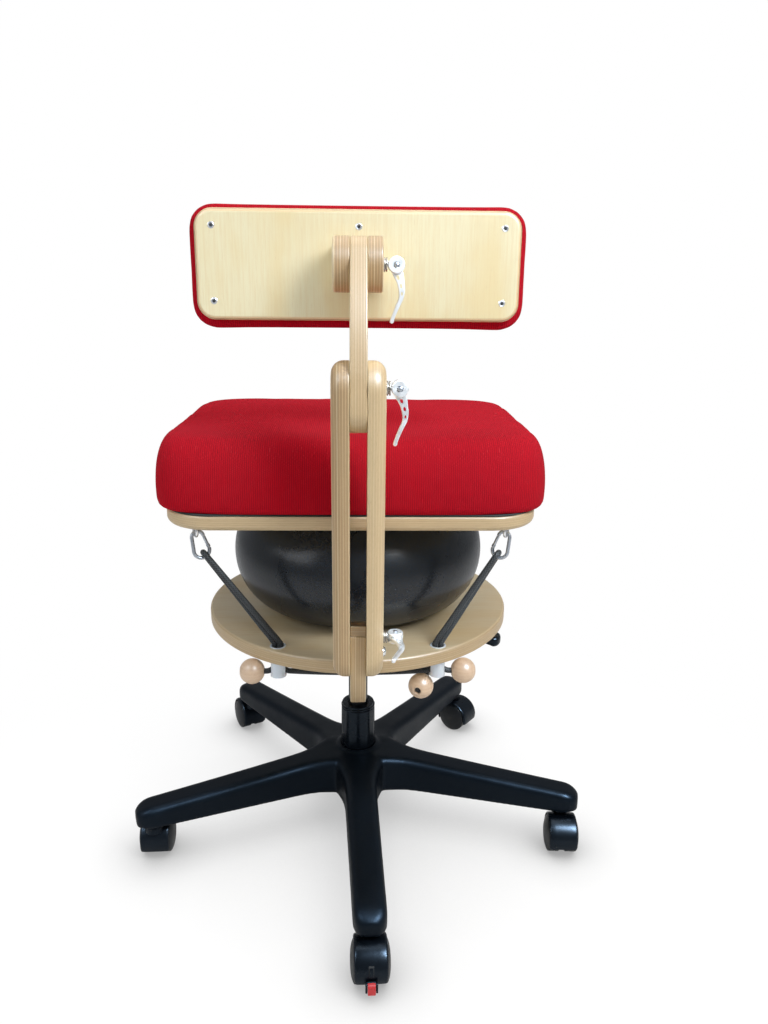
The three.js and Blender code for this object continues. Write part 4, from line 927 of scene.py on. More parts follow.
def leg_rings():
    """One leg along +X as rings of a rounded section, millimetres about the base's axis."""
    rings = []
    stations = list(np.linspace(4, LEG_ROUNDED, 34)) + [312, 317, 321.5, 325, 327.8, 329.6]
    for r in stations:
        share = min(max((r - LEG_INNER) / (LEG_REACH - LEG_INNER), 0), 1)
        top = LEG_BOTTOM + LEG_ROOT - (LEG_ROOT - LEG_TIP) * share ** 0.85
        half = 22.8 - 2.4 * share + 15 * math.exp(-((r - 30) / 33) ** 2)
        past = max((r - LEG_ROUNDED) / (LEG_REACH - LEG_ROUNDED), 0)
        narrow = math.sqrt(max(1 - past ** 2.6, 0.0))
        half_here = max(half * (0.3 + 0.7 * narrow), 1.5)
        drop = 8.0 * past ** 2.4
        low = LEG_BOTTOM + CLEARANCE + 1.5 * past
        high = top - drop
        upper = min(10.0, half_here * 0.8, (high - low) * 0.45)
        lower = min(1.6, half_here * 0.4)
        ring = []
        for (sy, z, radius, start) in ((1, low + lower, lower, -90), (1, high - upper, upper, 0),
                                       (-1, high - upper, upper, 90), (-1, low + lower, lower, 180)):
            for p in arc((sy * (half_here - radius), z), radius, start, start + 90, 7):
                ring.append(Vector((r, p.x, p.y)))
        rings.append(ring)
    return rings


def hub_profile():
    top = LEG_BOTTOM + HUB_HEIGHT
    return [(0, LEG_BOTTOM + 1), (40, LEG_BOTTOM + 1), (42, LEG_BOTTOM + 8), (40, top - 28),
            (36, top - 11), (32.5, top - 3), (29.5, top), (26.6, top), (26.6, top + 0.02), (0, top)]


def star_base():
    corners, faces = skin_rings([[p * MM for p in ring] for ring in leg_rings()])
    unit = solid("leg_unit", corners, faces, "nylon", level=False)
    legs = spread("legs", unit, [ORIGIN] * LEG_COUNT, [(0, 0, leg_angle(k)) for k in range(LEG_COUNT)],
                  "nylon")
    hub = lathe("hub_unit", hub_profile(), ORIGIN, Z, "nylon", 72)
    hub.modifiers.clear()
    base = merge("star_base_shell", [legs, hub], "nylon")
    base.modifiers.clear()
    modify(base, "knit_together", "REMESH", mode="VOXEL", voxel_size=BASE_VOXEL)
    modify(base, "fillets", "SMOOTH", factor=0.5, iterations=8)
    bake_modifiers(base)
    dress(base.data, "nylon")
    # the smoothing draws the skin in a little: the tips are put back
    points = read(base.data.vertices, "co")
    flat_xy = points[:, :2] - np.array(ORIGIN[:2])
    reach = np.hypot(flat_xy[:, 0], flat_xy[:, 1])
    grow = 1 + 0.0016 * np.clip((reach - 0.25) / 0.08, 0, 1)
    points[:, :2] = np.array(ORIGIN[:2]) + flat_xy * grow[:, None]
    base.data.vertices.foreach_set("co", points.ravel())
    base.data.update()
    # the column passes through the hub
    low, high = LEG_BOTTOM - 10, LEG_BOTTOM + HUB_HEIGHT + 10
    core = lathe("hub_core", [(0, low), (COLUMN_BORE, low), (COLUMN_BORE, high), (0, high)],
                 ORIGIN, Z, "nylon", 96)
    core.modifiers.clear()
    modify(base, "column_hole", "BOOLEAN", operation="DIFFERENCE", solver="EXACT", object=core)
    bake_modifiers(base)
    bpy.data.objects.remove(core)
    base.data.shade_smooth()
    dress(base.data, "nylon")
    return settle(base, "base", "black_nylon", "star_base")


def column():
    """The ribbed sleeve with its bush, the gas cylinder and what it turns on."""
    top = COLUMN_TOP
    sleeve = lathe("column_sleeve", [(22, 43), (26.2, 43), (25.2, top - 1.5), (24.5, top), (22, top)],
                   ORIGIN, Z, "nylon_gloss", 120, True, 0.8, 26.0, 10, 0.55)
    settle(sleeve, "base", "black_steel", "column_tube")
    bush = lathe("column_bush_ring", [(14.6, top - 38), (22.6, top - 38), (22.6, top + 0.4), (25, top + 0.4),
                                      (25, top + 2.6), (23.6, top + 3.2), (23.6, top + 6.2),
                                      (17.4, top + 6.2), (16.6, top + 5.2), (14.6, top + 5.2)],
                 ORIGIN, Z, "nylon_gloss", 96, True, 0.7)
    # The bush's three holes are dark discs on its top: painted shade for holes that are not cut.
    dots = []
    for k in range(3):
        angle = radians(120 + k * 120)
        place = at(20.5 * cos(angle), 20.5 * sin(angle), 0)
        dots.append(lathe(f"bush_hole_{k}", [(0, top + 5.6), (1.5, top + 5.6), (1.5, top + 6.35),
                                             (0, top + 6.35)],
                          place, Z, "hole", 20))
    settle(merge("column_bush_top", [bush] + dots), "base", "black_nylon", "column_bush")
    cylinder = lathe("gas_cylinder_tube", [(0, LIFT_FOOT), (13.2, LIFT_FOOT), (14, LIFT_FOOT + 1),
                                           (14, LIFT_TOP - 1.4), (12.6, LIFT_TOP), (3, LIFT_TOP),
                                           (3, LIFT_TOP + 2.7), (0, LIFT_TOP + 2.7)],
                     ORIGIN, Z, "black_steel", 64, False, 0.6)
    settle(cylinder, "carriage", "black_steel", "gas_cylinder")
    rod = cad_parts["gas_rod"]
    dress(rod.data, "steel")


# ---- casters ----

def caster_frame(k):
    """The swivel's place on the floor, the heading and the axle's direction of caster k."""
    reach = LEG_REACH - CASTER_INSET
    a = leg_angle(k)
    h = radians(CASTERS[k][1])
    swivel = Vector((reach * cos(a), reach * sin(a), 0))
    ahead = Vector((cos(h), sin(h), 0))
    return swivel, ahead, Vector((-ahead.y, ahead.x, 0))


def caster_place(k, ahead_mm, side_mm, z):
    swivel, ahead, side = caster_frame(k)
    p = swivel + ahead * ahead_mm + side * side_mm
    return at(p.x, p.y, z)


def caster_hood(k):
    """The hood: a rounded shell over both wheels, its web, boss and stem."""
    name = CASTERS[k][0]
    half = CASTER_WIDTH / 2 - 4.2
    section = []
    outer, inner = 29.0, 26.2
    shoulder = [(-half, inner + 0.1), (-half, outer - 2.4), (-half + 0.8, outer - 0.8), (-half + 2.8, outer)]
    section += shoulder
    section += [(y, outer + 0.3) for y in (-10, 0, 10)]
    section += [(-y, r) for y, r in reversed(shoulder)]
    section += [(y, inner) for y in (12, 0, -12)]
    rings = []
    for s in range(41):
        angle = radians(-14 + 214 * s / 40)
        lip = 1.0 if 0 < s < 40 else 0.0
        rings.append([caster_place(k, CASTER_TRAIL + r * cos(angle), y * (0.985 + 0.015 * lip),
                                   AXLE + r * sin(angle)) for y, r in section])
    corners, faces = skin_rings(rings)
    shell = solid("hood_shell", corners, faces, "nylon_gloss", 40)
    web_outline = arc((CASTER_TRAIL, AXLE), 27.6, -14, 200, 40) + [Vector((CASTER_TRAIL, AXLE - 12.5))]
    web = board("hood_web", web_outline, rounded_edge(8, 0.8, 0.8, 2),
                lambda u, v, w: caster_place(k, u, w - 4, v), "nylon_gloss")
    nose = lathe("hood_nose", [(0, -6), (9, -6), (9, 6), (0, 6)],
                 caster_place(k, CASTER_TRAIL, 0, AXLE), caster_frame(k)[2], "nylon_gloss", 32,
                 round_by=0.8)
    boss = lathe("hood_boss", [(0, 44), (13, 44), (11, 51), (9.2, 54), (9.2, 58.2), (0, 58.2)],
                 caster_place(k, 0, 0, 0), Z, "nylon_gloss", 40, round_by=0.8)
    stem = lathe("hood_stem", [(0, 57), (5.4, 57), (5.4, 78), (0, 78.2)],
                 caster_place(k, 0, 0, 0), Z, "satin", 28, round_by=0.6)
    parts = [shell, web, nose, boss, stem]
    # On the rear hood the slot and the groove are dark strips on the shell: painted shade for recesses that
    # are not cut.
    if name == "rear":
        around = (CASTER_TRAIL, AXLE)
        for label, start, stop, low, high, wide, look in (
                ("slot", 27, 31, 28.6, 29.6, 3.2, "hole"), ("bar", 6, 27, 28.6, 30.2, 2.3, "nylon_gloss"),
                ("groove", 6, 28, 28.6, 29.5, 3.0, "hole")):
            outline = arc(around, high, start, stop, 10) + arc(around, low, stop, start, 10)
            parts.append(board("hood_" + label, outline, rounded_edge(2 * wide, 0.3, 0.3, 2),
                               lambda u, v, w, half=wide: caster_place(k, u, w - half, v), look))
    return settle(merge("hood_" + name, parts), "caster_" + name, "black_nylon", "caster_hood_" + name)


def caster_wheels(k):
    name = CASTERS[k][0]
    side = caster_frame(k)[2]
    centre = caster_place(k, CASTER_TRAIL, 0, AXLE)
    profile = [(3.1, 4.6), (24.1, 4.6), (24.62, 5.2), (24.62, 9.2), (24.2, 9.7), (24.2, 10.5), (24.62, 11),
               (24.62, 18.4), (24.2, 19.6), (22.6, 20.6), (20.2, 21.6), (16.5, 22.7), (11.5, 23.5),
               (6.0, 23.9), (0, 24.0)]
    parts = []
    for way in (1, -1):
        parts.append(lathe("wheel", [(0, 4.6)] + profile, centre, side * way, "wheel", 72, round_by=0.5))
    parts.append(lathe("axle", [(0, -5), (3, -5), (3, 5), (0, 5)], centre, side, "wheel_dust", 20))
    return settle(merge("wheels_" + name, parts), "wheels_" + name, "black_nylon", "caster_wheels_" + name)


def brake():
    pin = CASTER_TRAIL + 31.7
    k = 0
    bar = lathe("pedal_pin", [(0, -5), (2.2, -5), (2.2, 5), (0, 5)], caster_place(k, pin, 0, AXLE - 2),
                caster_frame(k)[2], "nylon_gloss", 24, round_by=0.4)
    outline = eased([(pin + 1.2, AXLE + 0.6), (pin + 5.4, AXLE - 0.4), (pin + 6.6, AXLE - 3),
                     (pin + 6.4, AXLE - 13), (pin + 4.6, AXLE - 15), (pin + 1.4, AXLE - 14.6),
                     (pin + 0.4, AXLE - 12)], 1.6, 4, True)
    pad = board("pedal_pad", outline, rounded_edge(9.2, 0.9, 0.9, 3),
                lambda u, v, w: caster_place(k, u, w - 4.6, v), "pedal")
    flank = eased([(pin - 0.6, AXLE + 0.6), (pin + 4, AXLE - 0.6), (pin + 5, AXLE - 12),
                   (pin + 0.6, AXLE - 13.4)], 1.6, 4, True)
    flanks = [board(f"pedal_flank_{side}", flank, rounded_edge(2.4, 0.7, 0.7, 2),
                    lambda u, v, w, s=side: caster_place(k, u, s * (4.9 + w), v), "nylon_gloss")
              for side in (-1, 1)]
    return settle(merge("brake_pedal_arm", [bar, pad] + flanks), "brake", "red_pedal", "brake_pedal")


# ---- disc, bracket and lift fittings ----

def disc():
    ply = plywood("disc_plywood", 2, DISC_TOP - PLY / 2, PLY, 0, 0.5, 0.6)
    outline = circle((0, 0), DISC_RADIUS, 160)
    holes = [circle((sx * TUBE_X, sy * TUBE_Y), TUBE_RADIUS + 0.25, 40) for _, sx, sy in CORNERS]
    piece = board("disc_board", outline, rounded_edge(PLY, 2.6, 3.4, 5), flat(DISC_BOTTOM), ply, holes)
    settle(piece, "carriage", "birch_ply", "base_disc")
    for name, sx, sy in CORNERS:
        settle(white_tube(name, sx, sy), "carriage", "white_tube", "cord_tube_" + name)


def white_tube(name, sx, sy):
    """A sleeve through the disc: a thin rim above, and below a wall with a slot at each side."""
    centre = at(sx * TUBE_X, sy * TUBE_Y, 0)
    rows = list(np.linspace(DISC_BOTTOM - 22.2, DISC_BOTTOM - CLEARANCE, 12))
    rows += [DISC_TOP - 0.5, DISC_TOP + 0.8]
    segments = 56
    form = bmesh.new()
    grid = []
    for z in rows:
        ring = []
        for s in range(segments):
            a = tau * s / segments
            ring.append(form.verts.new(centre + Vector((TUBE_RADIUS * cos(a), TUBE_RADIUS * sin(a), z)) * MM))
        grid.append(ring)
    for j in range(len(rows) - 1):
        for s in range(segments):
            a = tau * (s + 0.5) / segments
            level = (rows[j] + rows[j + 1]) / 2 - DISC_BOTTOM
            in_slot = abs(sin(a)) * TUBE_RADIUS < TUBE_SLOT and -20.5 < level < -0.2
            if not in_slot:
                t = (s + 1) % segments
                form.faces.new((grid[j][s], grid[j][t], grid[j + 1][t], grid[j + 1][s]))
    bmesh.ops.delete(form, geom=[v for v in form.verts if not v.link_faces], context="VERTS")
    tube = link("white_tube_" + name, close_form(form, name), "white_tube")
    modify(tube, "wall", "SOLIDIFY", thickness=TUBE_WALL * MM, offset=-1)
    modify(tube, "soften", "BEVEL", width=0.35 * MM, segments=2, limit_method="ANGLE")
    return bake_modifiers(tube)


def bracket():
    # The bracket's board is darkened: painted shade for its place between the uprights.
    ply = plywood("bracket_plywood", 0, 0, PLY, 2, 0.4, 0.9)
    beam_top = DISC_BOTTOM - CLEARANCE
    rear, front, low, top, heel = -262, -213, 303, 408, 58
    outline = [Vector((rear, top)), *arc((rear + heel, low + heel), heel, 180, 270, 14),
               Vector((-62, low)), Vector((-46, low + 16)), Vector((-46, beam_top)),
               Vector((front + 4, beam_top)), Vector((front, beam_top + 4)), Vector((front, top - 10)),
               Vector((-235, top))]
    outline = eased(outline, 2.0, 3, True)
    post = board("bracket_board", outline, rounded_edge(PLY, 1.6, 1.6, 3), upright_plane(-PLY / 2), ply,
                 holes=[circle((-TUBE_Y, RUN_LEVEL - RUN_SAG), 4.8, 24)])
    settle(post, "carriage", "birch_ply", "back_bracket")
    # The cap's board is darkened much more: painted shade for the dark gap between the uprights.
    cap_ply = plywood("cap_plywood", 2, top + 6.3, 12, 0, 1.1)
    foot = top + CLEARANCE
    wedge = eased([(rear, foot), (-215, foot), (-237, top + 3), (rear + 1.5, top + 12.3),
                   (rear, top + 12.3)], 1.0, 3, True)
    cap = board("bracket_cap_board", wedge, rounded_edge(PLY, 1.0, 1.0, 3), upright_plane(-PLY / 2), cap_ply)
    settle(cap, "carriage", "birch_ply", "bracket_cap")


def lift_fittings():
    """The steel plate and socket under the disc, and the lever that frees the gas lift."""
    top = DISC_BOTTOM - CLEARANCE
    plate = board("plate", rounded_rectangle(55, 57.5, 9.5, (0, 17.5), 6), rounded_edge(3, 0.8, 0.8, 2),
                  flat(top - 3), "black_steel")
    socket = lathe("socket", [(14.3, top - 45), (17.6, top - 45), (19, top - 43), (19, top - 6),
                              (22, top - 3.2), (22, top - 3), (14.3, top - 3)],
                   ORIGIN, Z, "black_steel", 64, True, 0.6)
    turn = radians(-19.2)
    ahead = Vector((cos(turn), sin(turn), 0))
    side = Vector((-ahead.y, ahead.x, 0))
    lever_z = DISC_BOTTOM - 21.5
    lug = board("lug", rounded_rectangle(6, 13.5, 2.5, (0, lever_z + 7.4), 4), rounded_edge(6, 0.6, 0.6, 2),
                lambda u, v, w: at(*(ahead * (25 + w) + side * u)[:2], v), "black_steel",
                holes=[circle((0, lever_z), 3.8, 24)])
    bolts = []
    for sx in (-1, 1):
        for y in (-28, 62):
            bolts.append(lathe("plate_bolt", [(0, top - 7.2), (4.6, top - 7), (5.4, top - 5.4),
                                              (5.4, top - 3), (0, top - 3)],
                               at(sx * 44, y, 0), Z, "satin", 48, round_by=0.3, flats=6, flat_depth=0.7))
    settle(merge("lift_plate_socket", [plate, socket, lug] + bolts), "carriage", "black_steel", "lift_plate")
    bar = lathe("lever_bar", [(0, 20), (3, 20), (3, 176), (0, 176)], at(0, 0, lever_z), ahead,
                "satin", 28, round_by=0.5)
    lobes = [(163, 4.5), (168, 8.6), (175, 10.2), (182, 8.4), (188, 7.6), (194, 10), (200, 13), (205.5, 10.2),
             (208, 4)]
    outline = smooth_outline([(r, s) for r, s in lobes] + [(r, -s) for r, s in reversed(lobes)])
    knob = board("lever_knob", outline, rounded_edge(14, 4.6, 4.6, 5),
                 lambda u, v, w: at(*(ahead * u + side * v)[:2], lever_z - 5 + w), "nylon_gloss")
    settle(merge("lift_lever_knob", [bar, knob]), "lift_lever", "black_nylon", "lift_lever")


def smooth_outline(points, per_span=5):
    """A closed smooth outline through a ring of points."""
    ring = [Vector((*p, 0)) for p in points]
    path = smooth_path([ring[-2], ring[-1]] + ring + [ring[0], ring[1]], per_span)
    start = 2 * per_span
    return [Vector((p.x, p.y)) for p in path[start:start + len(points) * per_span]]


# ---- hooks, cords and wooden balls ----

def hook_frame(side, end):
    """Where a hook hangs, its axes, the middle of its lower bend and the pull of its strap."""
    ring_z = BOARD_BOTTOM - 2.8 - EYE_RING
    down = Vector((-side * sin(HOOK_SLANT), 0, -cos(HOOK_SLANT)))
    outside = Vector((side * cos(HOOK_SLANT), 0, -sin(HOOK_SLANT)))
    apart = Quaternion(down, HOOK_TWIST * side * end) @ outside
    across = down.cross(apart).normalized() * -side
    ring = Vector((SEAT_X + side * EYE_X, end * TUBE_Y, ring_z))
    top = ring + down * (EYE_RING - EYE_WIRE - HOOK_WIRE - 0.9)
    bend = top + down * (HOOK_NECK + HOOK_STRAIGHT)
    pull = Vector((side * TUBE_X, end * TUBE_Y, DISC_TOP + 3)) - bend
    pull = (pull - apart * pull.dot(apart)).normalized()
    return down, apart, across, ring, top, bend + pull * HOOK_HALF, pull


def seat_eye(name, side, end):
    _, _, across, ring, _, _, _ = hook_frame(side, end)
    level = Vector((across.x, across.y, 0)).normalized()
    along = Vector((-level.y, level.x, 0))
    loop = [at(*(ring + along * (EYE_RING * cos(a)) + Z * (EYE_RING * sin(a))))
            for a in np.linspace(0, tau, 41)]
    wire = strand("eye_wire", [loop], EYE_WIRE, "steel", 14)
    plate_low = BOARD_BOTTOM - 3.3
    plate = board("eye_plate", rounded_rectangle(6, 13, 4.8, (0, 0), 7), rounded_edge(3, 0.9, 0.2, 3),
                  lambda u, v, w: at(*(Vector((ring.x, ring.y, 0)) + level * u + along * v)[:2],
                                     plate_low + w), "steel")
    heads = []
    for way in (-1, 1):
        place = Vector((ring.x, ring.y, 0)) + along * (way * 9.3)
        heads.append(lathe("eye_screw", [(0, plate_low - 1.0), (1.4, plate_low - 0.9), (2.4, plate_low + 0.1),
                                         (2.4, plate_low + 0.6), (0, plate_low + 0.6)],
                           at(place.x, place.y, 0), Z, "dark_steel", 20))
    settle(merge("eye_" + name, [wire, plate] + heads), "seat", "steel", "seat_eye_" + name)


def carabiner(name, side, end):
    """A wire hook and, as a piece of its own, the gate that closes it."""
    down, _, across, _, top, _, _ = hook_frame(side, end)

    def spot(sideways, along):
        return at(*(top + across * sideways + down * along))

    path = []
    bend = HOOK_NECK + HOOK_STRAIGHT
    for s in range(15):
        a = pi * s / 14
        path.append(spot(HOOK_NECK * cos(a), HOOK_NECK * (1 - sin(a))))
    path += [spot(-HOOK_NECK + (HOOK_NECK - HOOK_HALF) * t, HOOK_NECK + HOOK_STRAIGHT * t)
             for t in (0.25, 0.5, 0.75)]
    for s in range(15):
        a = pi * s / 14
        path.append(spot(-HOOK_HALF * cos(a), bend + HOOK_HALF * sin(a)))
    path = smooth_path(path, 2)
    settle(strand("carabiner_wire_" + name, [path], HOOK_WIRE, "hook_steel", 16), "seat", "steel",
           "carabiner_" + name)
    low, high = spot(HOOK_HALF, bend), spot(HOOK_NECK, HOOK_NECK)
    along = (high - low).normalized()
    low, high = low + along * MM, high - along * MM
    bar = strand("gate_bar", [[low, (low + high) / 2, high]], 1.85, "hook_steel", 16)
    collar = lathe("gate_collar", [(0, 0.2), (2.3, 0.2), (2.3, 3.6), (0, 3.6)], low, along, "hook_steel", 24,
                   round_by=0.4)
    settle(merge("gate_" + name, [bar, collar]), "gate_" + name, "steel", "carabiner_gate_" + name)


def strand_points(side, end, lane):
    """A strand from its tube's side slot up to the hook: the part below the disc, and the rest."""
    x, y = side * (TUBE_X + lane * STRAND_OFFSET), end * TUBE_Y
    elbow_top = RUN_LEVEL + 12
    below = []
    for s in range(9):
        a = pi / 2 * s / 8
        out = 12 * (1 - sin(a))
        below.append(Vector((x + side * lane * out, y, elbow_top - 12 * cos(a))))
    below.append(Vector((x, y, DISC_TOP + 3)))
    _, apart, _, _, _, foot, pull = hook_frame(side, end)
    turn = HOOK_WIRE + CORD_RADIUS + CLEARANCE
    high = foot + apart * (lane * turn)
    low = below[-1]
    bend = low.lerp(high, 0.08)
    bend.x -= side * 0.35
    above = [low, bend] + [low.lerp(high, t) for t in (0.2, 0.36, 0.52, 0.7, 0.86)] + [high]
    return below, above, foot, pull, apart, turn


def strap(side, end, first_lane):
    """Both strands over the hook as one smooth path, from disc top to disc top."""
    _, up, foot, pull, apart, turn = strand_points(side, end, first_lane)
    back = strand_points(side, end, -first_lane)[1]
    over = []
    for s in range(1, 12):
        a = pi * s / 12
        over.append(foot + apart * (first_lane * turn * cos(a)) - pull * (turn * sin(a)))
    return up, over, back[::-1]


def cut_path(path, low, high):
    """Stretches of a path whose height lies between two levels, cut exactly there."""
    stretches, current = [], []
    for a, b in zip(path, path[1:]):
        inside_a, inside_b = low <= a.z <= high, low <= b.z <= high
        if inside_a and not current:
            current.append(a)
        if inside_a != inside_b:
            level = high if max(a.z, b.z) > high else low
            t = (level - a.z) / (b.z - a.z)
            edge = a.lerp(b, t)
            if inside_a:
                current.append(edge)
                stretches.append(current)
                current = []
            else:
                current = [edge]
        if inside_b:
            current.append(b)
    if len(current) > 1:
        stretches.append(current)
    return stretches


def bead_axis(place):
    reach = TUBE_X + 33
    if place == "tail":
        last = Vector(TAIL[-1])
        centre = Vector((80, -164, 296))
        return centre, (centre - last).normalized()
    side = -1 if place.endswith("left") else 1
    end = -1 if place.startswith("rear") else 1
    return Vector((side * reach, end * TUBE_Y, RUN_LEVEL)), Vector((side, 0, 0))


def through_bead(place):
    centre, axis = bead_axis(place)
    return [centre + axis * (BEAD_RADIUS * t) for t in (-0.5, 0, 0.81)]


TAIL = [(122, 163.6, 318.2), (127, 156, 319.4), (127.5, 143, 321.6), (122, 118, 325),
        (111, 80, 327), (101, 35, 327.6), (95, -5, 327.6), (91.5, -40, 327.5), (90, -70, 326.6),
        (90, -90, 322.5), (90.4, -106, 314.5), (90.6, -119, 305.5), (90, -131, 299), (88.2, -142.3, 296)]


def cords():
    """Two elastic cords: each strap bends with the seat, and the runs below stay on the disc."""
    split, middle, top, above_all = DISC_TOP + 3, BALL_MIDDLE - 30, BOARD_BOTTOM - 43, 600
    for end, label in ((-1, "rear"), (1, "front")):
        run = [Vector((x, end * TUBE_Y, RUN_LEVEL - RUN_SAG * (1 - (x / 84) ** 2)))
               for x in (-74, -55, -30, 0, 30, 55, 74)]
        last = through_bead("rear_right") if end < 0 else [Vector(p) for p in TAIL] + through_bead("tail")
        (left_in, left_out), (right_in, right_out) = (
            [strand_points(side, end, lane)[0] for lane in (-1, 1)] for side in (-1, 1))
        paths = [through_bead(label + "_left")[::-1] + left_out,
                 left_in[::-1] + run + right_in,
                 right_out[::-1] + last]
        paths = [[at(*p) for p in smooth_path(path, 4)] for path in paths]
        under = strand(f"cord_{label}_run", paths, CORD_RADIUS, "braid", 20)
        settle(under, "carriage", "elastic", "elastic_cord_" + label)
        for side, word in ((-1, "left"), (1, "right")):
            up, over, back = strap(side, end, 1 if side < 0 else -1)
            path = smooth_path(up + over + back, 6)
            for part, low, high, bodies in (
                    ("low", split - 0.5, middle, ("carriage", "ball")),
                    ("high", middle, above_all, ("ball", "seat"))):
                pieces = [[at(*p) for p in stretch] for stretch in cut_path(path, low, high)]
                made = strand(f"strap_{label}_{word}_{part}", pieces, CORD_RADIUS, "braid", 20)
                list(bodies)
                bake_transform(made)


def wooden_balls():
    for place in ("rear_left", "rear_right", "front_left", "tail"):
        centre, axis = bead_axis(place)
        profile = []
        for s in range(33):
            a = radians(-74.4 + 148.8 * s / 32)
            profile.append((BEAD_RADIUS * cos(a), BEAD_RADIUS * sin(a)))
        profile = ([(4.2, -14.2), (4.2, -15.0)] + profile[1:-1] + [(4.2, 15.0), (4.2, 14.2)])
        piece = lathe("beech_ball_" + place, profile, at(*centre), axis, "beech", 64, True, 0.25, 60.0)
        settle(piece, "carriage", "beech", "wooden_ball_" + place)


# ---- ball, seat board and cushions ----

def ball_point(angle, turn, share=0.9):
    radius = BALL_PATCH + (BALL_RADIUS - BALL_PATCH) * max(cos(angle), 0) ** share
    z = BALL_MIDDLE + BALL_RISE * sin(angle)
    return Vector((radius * cos(turn), radius * sin(turn), z))


def exercise_ball():
    """The ball in two halves, so that it leans with the seat on both axes."""
    segments, steps = 144, 40
    for part, sign in (("lower", -1), ("upper", 1)):
        angles = [sign * pi / 2 * s / steps for s in range(steps + 1)]
        rings = [[ball_point(a, tau * k / segments) for k in range(segments)] for a in angles]
        flat_z = rings[-1][0].z
        for radius in (70, 45, 22, 4.2):
            rings.append([Vector((radius * cos(tau * k / segments),
                                  radius * sin(tau * k / segments), flat_z))
                          for k in range(segments)])
        corners = [at(*p) for ring in rings for p in ring]
        faces = []
        for j in range(len(rings) - 1):
            for i in range(segments):
                k = (i + 1) % segments
                quad = (j * segments + i, j * segments + k, (j + 1) * segments + k, (j + 1) * segments + i)
                faces.append(quad if sign > 0 else quad[::-1])
        last = (len(rings) - 1) * segments
        lid = tuple(range(last, last + segments))
        faces.append(lid if sign > 0 else lid[::-1])
        mesh = new_mesh("ball_" + part, corners, faces)
        piece = link("ball_" + part, mesh, "vinyl", 60.0)
        normals = []
        for i, vertex in enumerate(mesh.vertices):
            own = Vector(vertex.normal)
            if i < segments:
                own.z = 0
            normals.append(own.normalized())
        mesh.normals_split_custom_set_from_vertices(normals)
        if sign < 0:
            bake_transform(piece)
            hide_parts("exercise_ball")
        else:
            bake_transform(piece)


def seat_board():
    ply = plywood("seat_plywood", 2, BOARD_BOTTOM + PLY / 2, PLY, 0, 0.25, 0.4)
    outline = rounded_rectangle(222, 195, 60, (SEAT_X, SEAT_Y), 18)
    piece = board("seat_board_ply", outline, rounded_edge(PLY, 7.5, 3.0, 6), flat(BOARD_BOTTOM), ply)
    settle(piece, "seat", "birch_ply", "seat_board")
    sheet = board("seat_underlay", rounded_rectangle(221, 194, 59, (SEAT_X, SEAT_Y), 18),
                  [(0.6, 0.0), (0, 0.5), (0, 1.6), (0.6, 2.1)], flat(BOARD_TOP + 0.05), "underlay")
    settle(sheet, "seat", "elastic")


def superellipse(half_x, half_y, power, count):
    """Evenly spaced points on a squared oval, and the distance run to each."""
    fine = []
    for s in range(count * 12):
        a = tau * s / (count * 12)
        c, sn = cos(a), sin(a)
        fine.append(Vector((half_x * math.copysign(abs(c) ** (2 / power), c),
                            half_y * math.copysign(abs(sn) ** (2 / power), sn))))
    runs = [0.0]
    for a, b in zip(fine, fine[1:] + fine[:1]):
        runs.append(runs[-1] + (b - a).length)
    total = runs[-1]
    even = []
    j = 0
    for s in range(count):
        goal = total * s / count
        while runs[j + 1] < goal:
            j += 1
        t = (goal - runs[j]) / max(runs[j + 1] - runs[j], 1e-9)
        even.append(fine[j].lerp(fine[(j + 1) % len(fine)], t))
    return even, total


def pad(name, spec, place, flat_low):
    """A crowned cushion: a squared oval in plan, drawn in at its foot and rolled over at its top,
    then puffed a little by a cloth run so that its cover lies as on foam."""
    outline, _ = superellipse(1, 1, spec["power"], 120)

    def ring_at(drawn, share, height):
        wide, deep = half_x - drawn, half_y - drawn * spec["lean"]
        if "corner" in spec:
            plan = rounded_rectangle(wide, deep, max(spec["corner"] - drawn, 8))
        else:
            plan = [Vector((p.x * wide, p.y * deep)) for p in outline]
        return [place(p.x * share, p.y * share, height) for p in plan]

    rings = []
    foot, roll = spec["foot"], spec["roll"]
    for s in range(7):
        a = pi / 2 * s / 6
        rings.append((foot[0] * (1 - sin(a)), foot[1] * (1 - cos(a))))
    wall = spec["height"] - roll[1]
    for s in range(1, 4):
        rings.append((-spec["belly"] * sin(pi * s / 4), foot[1] + (wall - foot[1]) * s / 4))
    for s in range(11):
        a = pi / 2 * s / 10
        rings.append((roll[0] * (1 - cos(a) ** 0.92), spec["height"] - roll[1] * (1 - sin(a))))
    half_x, half_y = spec["half"]
    body = []
    for drawn, height in rings:
        body.append(ring_at(drawn, 1, height))
    drawn = rings[-1][0]
    for share in (0.86, 0.7, 0.5, 0.3, 0.12):
        rise = spec["crown"] * (1 - share ** 2.2)
        body.append(ring_at(drawn, share, spec["height"] + rise))
    corners, faces = skin_rings(body)
    cushion = solid(name, corners, faces, "knit", level=False)
    puff(cushion, spec["voxel"], flat_low)
    chart_knit(cushion, spec)
    return cushion


